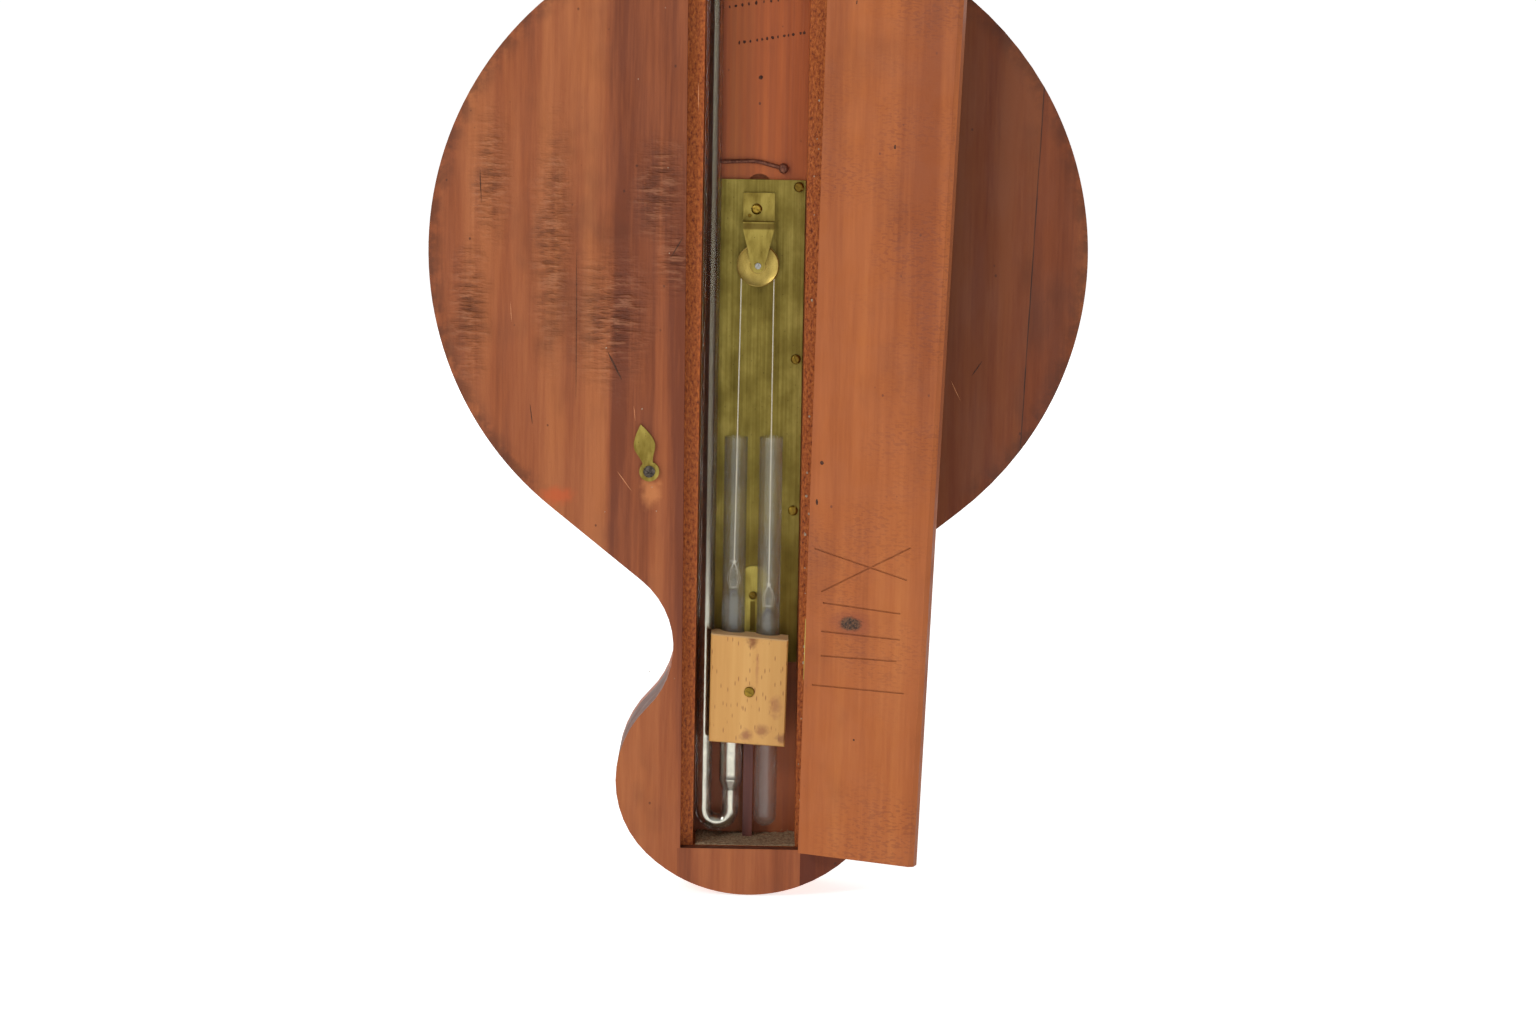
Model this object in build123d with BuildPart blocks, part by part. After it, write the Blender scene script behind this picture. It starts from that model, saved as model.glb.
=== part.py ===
"""Wheel barometer: a round-bodied wall case with a siphon mercury tube and a pulley movement.

Millimetres. +Z is up, the front faces -Y, and the back of the case lies in the plane Y = 0.
The origin is the middle of the hole in the hanging plate, above the top of the case.
Heights in the sketches are counted from the centre of the round body.
"""
from build123d import *
from math import cos, radians, sin, sqrt
import os

os.makedirs("parts", exist_ok=True)

# ---- Case outline ----
body_z = -700.0          # centre of the round body, below the hanging hole
body_r = 128.0
flank_angle = 51.4       # where the flank leaves the round body, below the horizontal
waist_half = 30.7
waist_r = 34.0
base_half = 52.8
base_side_r = 41.0
base_r = 58.0
neck_half = 44.0
shoulder_r = 45.0
neck_top_half = 50.0
neck_top_z = 590.0
head_half = 60.0
head_z = 646.0
case_top_z = 676.0

# ---- Depths, counted from the back plane towards the front ----
rebate_depth = 6.0
channel_depth = 30.0
board_depth = 38.0
front_depth = 38.8
recess_depth = 35.2
tube_depth = 21.5

# ---- Channel and trapdoor ----
slot_bottom = -236.0
channel_top = 652.0
rebate_top = 660.0
catch_wall = 22.0
hinge_wall = -18.6
hinge_foot_x = -21.6
hinge_slope = 0.0147     # the hinge side leans outwards going up
catch_foot_x = 26.8
catch_slope = 0.0057
door_open = 160.0        # degrees from closed
door_thick = 5.5
door_gap = 0.5
pin_standoff = 1.2       # the hinge line stands this far behind the back plane

# ---- Movement ----
arbor_z = -6.0
arbor_r = 1.2
run_gap = 0.06
bush_r = 4.0
bush_hole_r = 4.05
pulley_r = 8.35
thread_r = 0.25
thread_x = 6.4
plate_face = 28.4
float_x = 7.4
weight_x = -6.5
limb_x = 18.2
tube_r = 3.4
bore_r = 2.2
wide_r = 4.65
wide_bore_r = 3.75
tube_rim_z = -74.0
mercury_z = -155.0
column_top_z = 607.0
tube_top_z = 645.0

# ---- Dial and front fittings ----
dial_r = 101.6
bezel_r = 112.0
bezel_back = 39.1
bezel_pin_x = -116.5
bezel_pin_depth = 42.0
gauge_z = 545.0          # hygrometer
level_z = -200.0
thermometer_low = 195.0
thermometer_high = 455.0

reach = 2000.0           # longer than the whole case, for cutting regions
half_root = sqrt(0.5)


def face_at(depth, height=0.0):
    """Sketch plane facing the front at a depth, x to the front view's right and y up."""
    return Plane(origin=(0, -depth, body_z + height), x_dir=(1, 0, 0), z_dir=(0, -1, 0))


def turning_plane(x, height):
    """Sketch plane through a front-to-back axis: x is the radius, y the depth."""
    return Plane(origin=(x, 0, body_z + height), x_dir=(1, 0, 0), z_dir=(0, 0, -1))


def turning_axis(x, height):
    return Axis((x, 0, body_z + height), (0, 1, 0))


def upright_plane(x, depth):
    """Sketch plane through a vertical axis: x is the radius, y the height."""
    return Plane(origin=(x, -depth, body_z), x_dir=(1, 0, 0), z_dir=(0, -1, 0))


def upright_axis(x, depth):
    return Axis((x, -depth, body_z), (0, 0, 1))


def hinge_edge_x(height):
    return hinge_foot_x - hinge_slope * (height - slot_bottom)


def catch_edge_x(height):
    return catch_foot_x + catch_slope * (height - slot_bottom)


def write(part, label):
    part.label = label
    export_step(part, f"parts/{label}.step")


def screw_set(places, seat, head_r, head_h, shank_r, shank, into=1):
    """Slotted round-head screws standing on a face; into is 1 when driven towards the front."""
    with BuildPart() as screws:
        with BuildSketch(face_at(seat)):
            with Locations(*places):
                Circle(head_r)
        extrude(amount=-into * head_h)
        outer = screws.edges().filter_by(GeomType.CIRCLE).sort_by(Axis.Y)
        outer = outer[-len(places):] if into > 0 else outer[:len(places)]
        fillet(outer, head_h * 0.75)
        with BuildSketch(face_at(seat - into * head_h)):
            for number, place in enumerate(places):
                with Locations(Location((place[0], place[1], 0), (0, 0, 25 + 47 * number))):
                    Rectangle(2.2 * head_r, 0.28 * head_r)
        extrude(amount=into * head_h * 0.5, mode=Mode.SUBTRACT)
        with BuildSketch(face_at(seat)):
            with Locations(*places):
                Circle(shank_r)
        extrude(amount=into * shank)
    return screws.part


# ---- Outline of the case, on the XY plane, x across and y up ----
flank_cos = cos(radians(flank_angle))
flank_sin = sin(radians(flank_angle))
flank_top = Vector(body_r * flank_cos, -body_r * flank_sin)
waist_x = waist_half + waist_r
waist_centre = Vector(waist_x, -(body_r + waist_r - flank_cos * waist_x) / flank_sin)
flank_foot = waist_centre + Vector(-flank_cos, flank_sin) * waist_r
side_x = base_half - base_side_r
side_drop = sqrt((waist_r + base_side_r) ** 2 - (waist_x - side_x) ** 2)
side_centre = Vector(side_x, waist_centre.Y - side_drop)
waist_foot = waist_centre + (side_centre - waist_centre) * (waist_r / (waist_r + base_side_r))
base_centre = Vector(0, side_centre.Y + sqrt((base_r - base_side_r) ** 2 - side_x**2))
side_foot = base_centre + (side_centre - base_centre) * (base_r / (base_r - base_side_r))
case_foot = base_centre - Vector(0, base_r)
shoulder_x = neck_half + shoulder_r
shoulder_centre = Vector(shoulder_x, sqrt((body_r + shoulder_r) ** 2 - shoulder_x**2))
shoulder_foot = shoulder_centre * (body_r / (body_r + shoulder_r))
neck_foot = Vector(neck_half, shoulder_centre.Y)

with BuildSketch() as case_shape:
    with BuildLine():
        crown = Line((0, case_top_z), (head_half, case_top_z))
        head_side = Line(crown @ 1, (head_half, head_z))
        neck = Line((neck_top_half, neck_top_z), neck_foot)
        TangentArc(neck @ 0, head_side @ 1, tangent=(neck % 0) * -1)
        shoulder = RadiusArc(neck_foot, shoulder_foot, -shoulder_r)
        ThreePointArc(shoulder_foot, (body_r, 0), flank_top)
        flank = Line(flank_top, flank_foot)
        waist = TangentArc(flank_foot, waist_foot, tangent=flank % 1)
        side = TangentArc(waist_foot, side_foot, tangent=waist % 1)
        TangentArc(side_foot, case_foot, tangent=side % 1)
        mirror(about=Plane.YZ)
    make_face()

# ---- Regions that cut the outline into its boards ----
plug_left = -20.8
plug_right = 28.0
cheek_seam_x = 72.0
far_seam_top = (-106.66 - 0.0394 * reach, reach)
far_seam_foot = (-106.66 + 0.0394 * reach, -reach)

with BuildSketch() as plug_region:
    with Locations((plug_left, slot_bottom)):
        Rectangle(plug_right - plug_left, reach, align=(Align.MIN, Align.MAX))

with BuildSketch() as inner_hinge_region:
    Polygon(far_seam_foot, (hinge_wall, -reach), (hinge_wall, reach), far_seam_top, align=None)

with BuildSketch() as outer_hinge_region:
    Polygon((-reach, -reach), far_seam_foot, far_seam_top, (-reach, reach), align=None)

with BuildSketch() as rebate_shape:
    Polygon(
        (hinge_edge_x(slot_bottom), slot_bottom),
        (catch_edge_x(slot_bottom), slot_bottom),
        (catch_edge_x(rebate_top), rebate_top),
        (hinge_edge_x(rebate_top), rebate_top),
        align=None,
    )

# ---- Trapdoor hinge line ----
hinge_point = Vector(hinge_foot_x, pin_standoff, body_z + slot_bottom)
hinge_up = Vector(-hinge_slope, 0, 1).normalized()
hinge_across = Vector(1, 0, hinge_slope).normalized()
hinge_feet = (70.0, 430.0, 800.0)
hinge_length = 24.0
knuckle_r = 1.2
knuckle_relief_r = 1.6
pin_r = 0.7
pin_hole_r = 0.76
leaf_thick = 0.8
leaf_gap = 0.1
leaf_low = 6.2
leaf_high = 1.7


def door_across(angle):
    """Direction from the hinge line across the door, swung by an angle from closed."""
    return hinge_across * cos(radians(angle)) + Vector(0, 1, 0) * sin(radians(angle))


def hinge_section(angle, height):
    """Sketch plane square to the hinge line: x across the door, y to its outer side."""
    return Plane(origin=hinge_point + hinge_up * height, x_dir=door_across(angle), z_dir=hinge_up)


def door_plane(angle):
    """Sketch plane of the door: x across from the hinge line, y along it, normal inwards."""
    across = door_across(angle)
    return Plane(origin=hinge_point, x_dir=across, z_dir=across.cross(hinge_up))


def door_point(x, height):
    """A point of the closed door's outline, as x and y of the door's own sketch plane."""
    offset = Vector(x - hinge_foot_x, 0, height - slot_bottom)
    return (offset.dot(hinge_across), offset.dot(hinge_up))


def hinge_mortises(angle, inner_x):
    """Leaf pockets and knuckle clearances of all the hinges, for one side of the joint."""
    with BuildPart() as pockets:
        for foot in hinge_feet:
            with BuildSketch(hinge_section(angle, foot - 0.2)):
                with Locations((inner_x, -leaf_low - 0.1)):
                    Rectangle(leaf_thick + leaf_gap + 0.1, reach, align=(Align.MIN, Align.MIN))
                Circle(knuckle_relief_r)
            extrude(amount=hinge_length + 0.4)
    return pockets.part


case_pockets = hinge_mortises(0, -leaf_thick - leaf_gap - 0.1)
door_pockets = hinge_mortises(door_open, 0.0)

# ---- Boards of the case ----
with BuildPart() as front_board:
    with BuildSketch(face_at(channel_depth)):
        add(case_shape.sketch)
    extrude(amount=board_depth - channel_depth)
    with BuildSketch(face_at(recess_depth, arbor_z)):
        Circle(dial_r + 1.9)
    extrude(amount=board_depth - recess_depth, mode=Mode.SUBTRACT)
    with BuildSketch(face_at(channel_depth, arbor_z)):
        Circle(bush_hole_r)
    extrude(amount=board_depth, mode=Mode.SUBTRACT)
    with BuildSketch(face_at(channel_depth)):
        with Locations((0, 24.8)):
            Circle(4.75)
    extrude(amount=3.5, mode=Mode.SUBTRACT)
    with BuildSketch(face_at(board_depth - 1.8)):
        with Locations((0, level_z)):
            SlotOverall(52, 9)
    extrude(amount=1.8, mode=Mode.SUBTRACT)
    with BuildSketch(face_at(board_depth - 6)):
        with Locations((0, gauge_z)):
            Circle(2.0)
    extrude(amount=6, mode=Mode.SUBTRACT)
write(front_board.part, "front_board")

with BuildPart() as front_veneer:
    with BuildSketch(face_at(board_depth)):
        add(case_shape.sketch)
        with Locations((0, arbor_z)):
            Circle(dial_r + 1.9, mode=Mode.SUBTRACT)
        with Locations((0, level_z)):
            SlotOverall(52, 9, mode=Mode.SUBTRACT)
        with Locations((0, gauge_z)):
            Circle(2.0, mode=Mode.SUBTRACT)
    extrude(amount=front_depth - board_depth)
write(front_veneer.part, "front_veneer")

with BuildPart() as catch_side_board:
    with BuildSketch(face_at(0)):
        add(case_shape.sketch)
        with Locations((catch_wall, 0)):
            Rectangle(
                cheek_seam_x - catch_wall, reach, align=(Align.MIN, Align.CENTER), mode=Mode.INTERSECT
            )
        add(plug_region.sketch, mode=Mode.SUBTRACT)
    extrude(amount=channel_depth)
    with BuildSketch(face_at(0)):
        add(rebate_shape.sketch)
    extrude(amount=rebate_depth, mode=Mode.SUBTRACT)
write(catch_side_board.part, "catch_side_board")

with BuildPart() as catch_side_cheek:
    with BuildSketch(face_at(0)):
        add(case_shape.sketch)
        with Locations((cheek_seam_x, 0)):
            Rectangle(reach, reach, align=(Align.MIN, Align.CENTER), mode=Mode.INTERSECT)
    extrude(amount=channel_depth)
write(catch_side_cheek.part, "catch_side_cheek")

with BuildPart() as hinge_side_board:
    with BuildSketch(face_at(0)):
        add(case_shape.sketch)
        add(inner_hinge_region.sketch, mode=Mode.INTERSECT)
        add(plug_region.sketch, mode=Mode.SUBTRACT)
    extrude(amount=channel_depth)
    with BuildSketch(face_at(0)):
        add(rebate_shape.sketch)
    extrude(amount=rebate_depth, mode=Mode.SUBTRACT)
    add(case_pockets, mode=Mode.SUBTRACT)
write(hinge_side_board.part, "hinge_side_board")

with BuildPart() as hinge_side_cheek:
    with BuildSketch(face_at(0)):
        add(case_shape.sketch)
        add(outer_hinge_region.sketch, mode=Mode.INTERSECT)
    extrude(amount=channel_depth)
write(hinge_side_cheek.part, "hinge_side_cheek")

with BuildPart() as bottom_plug:
    with BuildSketch(face_at(0)):
        add(case_shape.sketch)
        add(plug_region.sketch, mode=Mode.INTERSECT)
    extrude(amount=channel_depth)
write(bottom_plug.part, "bottom_plug")

hang_half = 16.0
hang_foot = 663.0
hang_thick = 2.0
hang_neck = 18.0
hang_boss_r = 11.0
hang_bore_r = 4.0
hang_seat = 0.95         # how deep its screw heads are sunk
hang_screw_length = 12.0
hang_screws = [(-10, 669.5), (10, 669.5)]
with BuildPart() as head_block:
    with BuildSketch(face_at(0)):
        with Locations(((hinge_wall + catch_wall) / 2, channel_top)):
            Rectangle(
                catch_wall - hinge_wall, case_top_z - channel_top, align=(Align.CENTER, Align.MIN)
            )
    extrude(amount=channel_depth)
    with BuildSketch(face_at(0)):
        add(rebate_shape.sketch)
    extrude(amount=rebate_depth, mode=Mode.SUBTRACT)
    with BuildSketch(face_at(0)):
        with Locations((0, hang_foot)):
            Rectangle(2 * hang_half, reach, align=(Align.CENTER, Align.MIN))
    extrude(amount=hang_thick, mode=Mode.SUBTRACT)
    with BuildSketch(face_at(0)):
        with Locations(*hang_screws):
            Circle(1.3)
    extrude(amount=hang_seat + hang_screw_length + 1, mode=Mode.SUBTRACT)
write(head_block.part, "head_block")

# ---- Hanging plate, let in flush with the back ----
hole_height = -body_z
with BuildPart() as hanging_plate:
    with BuildSketch(face_at(0)):
        with Locations((0, hang_foot)):
            Rectangle(2 * hang_half, case_top_z - hang_foot, align=(Align.CENTER, Align.MIN))
        with Locations((0, case_top_z)):
            Rectangle(hang_neck, hole_height - case_top_z, align=(Align.CENTER, Align.MIN))
        with Locations((0, hole_height)):
            Circle(hang_boss_r)
            Circle(hang_bore_r, mode=Mode.SUBTRACT)
        with Locations(*hang_screws):
            Circle(1.3, mode=Mode.SUBTRACT)
    extrude(amount=hang_thick)
    with BuildSketch(face_at(0)):
        with Locations(*hang_screws):
            Circle(2.8)
    extrude(amount=hang_seat, mode=Mode.SUBTRACT)
write(hanging_plate.part, "hanging_plate")

# ---- Head mouldings: a stepped cornice that returns round both sides ----
cornice_steps = ((658.0, 662.0, 2.5), (662.0, 670.0, 5.5), (670.0, case_top_z, 9.0))
with BuildPart() as cornice_moulding:
    for low, high, proud in cornice_steps:
        with BuildSketch(Plane.XY.offset(body_z + low)):
            Rectangle(2 * (head_half + proud), front_depth + proud, align=(Align.CENTER, Align.MAX))
            Rectangle(2 * head_half, front_depth, align=(Align.CENTER, Align.MAX), mode=Mode.SUBTRACT)
        extrude(amount=high - low)
    lips = cornice_moulding.edges().filter_by(Axis.X).sort_by(Axis.Y)[:1]
    fillet(lips, 1.2)
write(cornice_moulding.part, "cornice_moulding")

scroll_depth = 24.8
scroll_inner = 14.0
scroll_outer = 64.0
volute_x = 21.0
volute_z = 704.0
volute_r = 8.0
for side_name, flip in (("left", -1), ("right", 1)):
    with BuildPart() as pediment_scroll:
        with BuildSketch(face_at(scroll_depth)):
            with BuildLine():
                foot = Line((flip * scroll_inner, case_top_z), (flip * scroll_outer, case_top_z))
                tip = Line(foot @ 1, (flip * scroll_outer, case_top_z + 7))
                sag = TangentArc(tip @ 1, (flip * 40, 694), tangent=(-flip, 0.1))
                rise = TangentArc(sag @ 1, (flip * volute_x, volute_z + volute_r), tangent=sag % 1)
                Line(rise @ 1, (flip * scroll_inner, volute_z))
                Line((flip * scroll_inner, volute_z), foot @ 0)
            make_face()
            with Locations((flip * volute_x, volute_z)):
                Circle(volute_r)
        extrude(amount=front_depth - scroll_depth)
    write(pediment_scroll.part, f"pediment_scroll_{side_name}")

finial_depth = (scroll_depth + front_depth) / 2
ball_z = 718.0
ball_r = 4.0
ball_neck = 2.4
ball_foot_z = ball_z - sqrt(ball_r**2 - ball_neck**2)
with BuildPart() as finial:
    with BuildSketch(upright_plane(0, finial_depth)):
        with BuildLine():
            Polyline((0, case_top_z), (7, case_top_z), (7, 686), (4, 688), (2.2, 693))
            ThreePointArc((2.2, 693), (7.5, 701), (4.5, 710))
            Polyline((4.5, 710), (5.5, 712), (ball_neck, ball_foot_z))
            ThreePointArc((ball_neck, ball_foot_z), (ball_r, ball_z), (0, ball_z + ball_r))
            Line((0, ball_z + ball_r), (0, case_top_z))
        make_face()
    revolve(axis=upright_axis(0, finial_depth))
write(finial.part, "finial")

# ---- Movement plate, its fixings and the pulley cock ----
plate_low = -165.5
plate_high = 27.3
plate_left = -18.2
plate_right = 20.5
plate_screws = [(x, z) for x in (-15.6, 16.6) for z in (24.6, -43.6, -104.2)]
clip_heights = (250.0, 560.0)
clip_screws = [(9.5, z) for z in clip_heights]
cock_screw_place = [(0.9, 15.8)]
tongue_screw_place = [(-0.3, -138.6)]

with BuildPart() as movement_plate:
    with BuildSketch(face_at(plate_face)):
        with Locations((plate_left, plate_low)):
            Rectangle(
                plate_right - plate_left, plate_high - plate_low, align=(Align.MIN, Align.MIN)
            )
        with Locations((0, arbor_z)):
            Circle(bush_hole_r, mode=Mode.SUBTRACT)
        with Locations(*plate_screws, *tongue_screw_place):
            Circle(0.9, mode=Mode.SUBTRACT)
        with Locations(*cock_screw_place):
            Circle(1.1, mode=Mode.SUBTRACT)
    extrude(amount=channel_depth - plate_face)
write(movement_plate.part, "movement_plate")

with BuildPart() as round_head_screws:
    add(screw_set(plate_screws, plate_face, 2.0, 1.3, 0.85, channel_depth - plate_face))
    add(screw_set(clip_screws, plate_face + 0.8, 2.0, 1.3, 0.85, 0.8))
    add(screw_set(hang_screws, hang_seat, 2.6, 0.8, 1.2, hang_screw_length))
write(round_head_screws.part, "round_head_screws")

foot_face = plate_face - 1.6
cock_half = 6.2
cock_toe_r = 2.6
pin_place = (3.6, 13.2)
arm_face = 17.9
arm_thick = 1.6
riser_z = 9.6
with BuildPart() as pulley_cock:
    with BuildSketch(face_at(foot_face)):
        with Locations((0, riser_z)):
            Rectangle(2 * cock_half, 12.6, align=(Align.CENTER, Align.MIN))
        with Locations(*cock_screw_place):
            Circle(1.1, mode=Mode.SUBTRACT)
        with Locations(pin_place):
            Circle(0.8, mode=Mode.SUBTRACT)
    extrude(amount=plate_face - foot_face)
    with BuildSketch(face_at(arm_face)):
        with Locations((0, riser_z)):
            Rectangle(2 * cock_half, 1.6, align=(Align.CENTER, Align.MIN))
    extrude(amount=foot_face - arm_face)
    with BuildSketch(face_at(arm_face)):
        Polygon(
            (-cock_half, riser_z + 1.6),
            (-cock_half, riser_z - 1.0),
            (-cock_toe_r, arbor_z),
            (cock_toe_r, arbor_z),
            (cock_half, riser_z - 1.0),
            (cock_half, riser_z + 1.6),
            align=None,
        )
        with Locations((0, arbor_z)):
            Circle(cock_toe_r)
            Circle(arbor_r + run_gap, mode=Mode.SUBTRACT)
    extrude(amount=arm_thick)
write(pulley_cock.part, "pulley_cock")

with BuildPart() as cock_fasteners:
    add(screw_set(cock_screw_place, foot_face, 2.15, 1.4, 1.05, channel_depth - foot_face))
    with BuildSketch(face_at(foot_face - 0.3)):
        with Locations(pin_place):
            Circle(0.75)
    extrude(amount=1.8)
write(cock_fasteners.part, "cock_fasteners")

with BuildPart() as arbor_bush:
    with BuildSketch(face_at(plate_face - 0.4, arbor_z)):
        Circle(bush_r)
        Circle(arbor_r + run_gap, mode=Mode.SUBTRACT)
    extrude(amount=recess_depth - plate_face + 0.4)
write(arbor_bush.part, "arbor_bush")

with BuildPart() as tongue_plate:
    with BuildSketch(face_at(plate_face - 1.0)):
        with Locations((-0.3, plate_low + 1)):
            Rectangle(9.6, -131.4 - plate_low - 1, align=(Align.CENTER, Align.MIN))
        with Locations((-0.3, -131.4)):
            Circle(4.8)
        with Locations(*tongue_screw_place):
            Circle(0.9, mode=Mode.SUBTRACT)
        with Locations((-0.3, -147)):
            Rectangle(2.0, 12, mode=Mode.SUBTRACT)
    extrude(amount=1.0)
write(tongue_plate.part, "tongue_plate")

block_screw_place = [(0.5, -174.4)]
block_face = 9.0
with BuildPart() as block_screws:
    add(screw_set(tongue_screw_place, plate_face - 1.0, 1.65, 1.2, 0.85, 2.6))
    add(screw_set(block_screw_place, block_face, 2.1, 0.7, 1.1, 18.0))
write(block_screws.part, "block_screws")

# ---- Tubes, mercury and their holders ----
bend_r = (limb_x - float_x) / 2
bend_z = -224.5
taper_low = -216.5
taper_high = -212.5

with BuildPart() as siphon_tube:
    with BuildLine(upright_plane(0, tube_depth)) as siphon_line:
        Line((limb_x, tube_top_z), (limb_x, bend_z))
        ThreePointArc((limb_x, bend_z), (limb_x - bend_r, bend_z - bend_r), (float_x, bend_z))
        Line((float_x, bend_z), (float_x, taper_low))
    with BuildSketch(Plane.XY.offset(body_z + tube_top_z)):
        with Locations((limb_x, -tube_depth)):
            Circle(tube_r)
            Circle(bore_r, mode=Mode.SUBTRACT)
    sweep(path=siphon_line.line)
    with BuildSketch(upright_plane(limb_x, tube_depth)):
        with BuildLine():
            Line((0, tube_top_z), (tube_r, tube_top_z))
            RadiusArc((tube_r, tube_top_z), (0, tube_top_z + tube_r), -tube_r)
            Line((0, tube_top_z + tube_r), (0, tube_top_z))
        make_face()
    revolve(axis=upright_axis(limb_x, tube_depth))
    with BuildSketch(upright_plane(float_x, tube_depth)):
        Polygon(
            (bore_r, taper_low),
            (tube_r, taper_low),
            (wide_r, taper_high),
            (wide_r, tube_rim_z),
            (wide_bore_r, tube_rim_z),
            (wide_bore_r, taper_high),
            align=None,
        )
    revolve(axis=upright_axis(float_x, tube_depth))
write(siphon_tube.part, "siphon_tube")

film = 0.03              # keeps the mercury's skin clear of the glass
with BuildPart() as mercury_column:
    with BuildLine(upright_plane(0, tube_depth)) as mercury_line:
        Line((limb_x, column_top_z), (limb_x, bend_z))
        ThreePointArc((limb_x, bend_z), (limb_x - bend_r, bend_z - bend_r), (float_x, bend_z))
        Line((float_x, bend_z), (float_x, taper_low))
    with BuildSketch(Plane.XY.offset(body_z + column_top_z)):
        with Locations((limb_x, -tube_depth)):
            Circle(bore_r - film)
    sweep(path=mercury_line.line)
    with BuildSketch(upright_plane(float_x, tube_depth)):
        Polygon(
            (0, taper_low),
            (bore_r - film, taper_low),
            (wide_bore_r - film, taper_high),
            (wide_bore_r - film, taper_high + 0.5),
            (0, taper_high + 0.5),
            align=None,
        )
    revolve(axis=upright_axis(float_x, tube_depth))
write(mercury_column.part, "mercury_column")

with BuildPart() as limb_mercury:
    with BuildSketch(Plane.XY.offset(body_z + taper_high + 0.5)):
        with Locations((float_x, -tube_depth)):
            Circle(wide_bore_r - film)
    extrude(amount=mercury_z - taper_high - 0.5)
write(limb_mercury.part, "limb_mercury")

weight_tube_low = -226.5
with BuildPart() as counterweight_tube:
    with BuildSketch(upright_plane(weight_x, tube_depth)):
        with BuildLine():
            Line((0, weight_tube_low - wide_r), (0, weight_tube_low - wide_bore_r))
            RadiusArc(
                (0, weight_tube_low - wide_bore_r), (wide_bore_r, weight_tube_low), -wide_bore_r
            )
            Polyline(
                (wide_bore_r, weight_tube_low),
                (wide_bore_r, tube_rim_z),
                (wide_r, tube_rim_z),
                (wide_r, weight_tube_low),
            )
            RadiusArc((wide_r, weight_tube_low), (0, weight_tube_low - wide_r), wide_r)
        make_face()
    revolve(axis=upright_axis(weight_x, tube_depth))
write(counterweight_tube.part, "counterweight_tube")

post_half = 1.9
post_x = (float_x + weight_x) / 2
post_top = -166.0
with BuildPart() as divider_post:
    with BuildSketch(face_at(tube_depth)):
        with Locations((post_x, slot_bottom)):
            Rectangle(2 * post_half, post_top - slot_bottom, align=(Align.CENTER, Align.MIN))
    extrude(amount=channel_depth - tube_depth)
    with BuildSketch(face_at(tube_depth)):
        with Locations(*block_screw_place):
            Circle(1.15)
    extrude(amount=6.0, mode=Mode.SUBTRACT)
write(divider_post.part, "divider_post")

with BuildPart() as clamp_block:
    with BuildSketch(face_at(block_face)):
        Polygon(
            (-14.6, -153.4),
            (16.0, -151.2),
            (16.2, -194.6),
            (-13.9, -196.4),
            align=None,
        )
    extrude(amount=tube_depth - block_face)
    with BuildSketch(Plane.XY.offset(body_z - 230)):
        with Locations((float_x, -tube_depth), (weight_x, -tube_depth)):
            Circle(wide_r + 0.3)
        with Locations((limb_x, -tube_depth)):
            Circle(tube_r + 0.35)
    extrude(amount=100, mode=Mode.SUBTRACT)
    with BuildSketch(face_at(block_face)):
        with Locations(*block_screw_place):
            Circle(1.15)
    extrude(amount=tube_depth - block_face, mode=Mode.SUBTRACT)
    chamfer(clamp_block.faces().sort_by(Axis.Y)[-1].outer_wire().edges(), 0.5)
write(clamp_block.part, "clamp_block")

wire_r = 0.8
wire_depth = channel_depth - wire_r - 0.05
nail_place = (-9.4, 31.8)
with BuildPart() as tie_wire:
    with BuildLine(face_at(wire_depth)) as wire_line:
        FilletPolyline(nail_place, (1.0, 34.6), (21.2, 33.8), radius=20)
    with BuildSketch(Plane(origin=wire_line.line @ 0, z_dir=wire_line.line % 0)):
        Circle(wire_r)
    sweep(path=wire_line.line)
    with BuildSketch(face_at(channel_depth - 2.6)):
        with Locations(nail_place):
            Circle(2.0)
    extrude(amount=2.6)
    fillet(tie_wire.edges().filter_by(GeomType.CIRCLE).sort_by(Axis.Y)[-1], 1.2)
write(tie_wire.part, "tie_wire")

clip_inner = tube_r + 0.05
clip_outer = tube_r + 0.38
with BuildPart() as tube_clips:
    for height in clip_heights:
        with BuildSketch(Plane.XY.offset(body_z + height - 4)):
            with Locations((limb_x, -tube_depth)):
                Circle(clip_outer)
                Rectangle(2 * clip_outer, channel_depth - tube_depth, align=(Align.CENTER, Align.MAX))
            with Locations((limb_x, -channel_depth)):
                Rectangle(12.6, 0.8, align=(Align.MAX, Align.MIN))
            with Locations((limb_x, -tube_depth)):
                Circle(clip_inner, mode=Mode.SUBTRACT)
                Rectangle(2 * clip_inner, reach, align=(Align.CENTER, Align.MAX), mode=Mode.SUBTRACT)
        extrude(amount=8)
    with BuildSketch(face_at(channel_depth - 2)):
        with Locations(*clip_screws):
            Circle(0.9)
    extrude(amount=4, mode=Mode.SUBTRACT)
write(tube_clips.part, "tube_clips")

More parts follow.
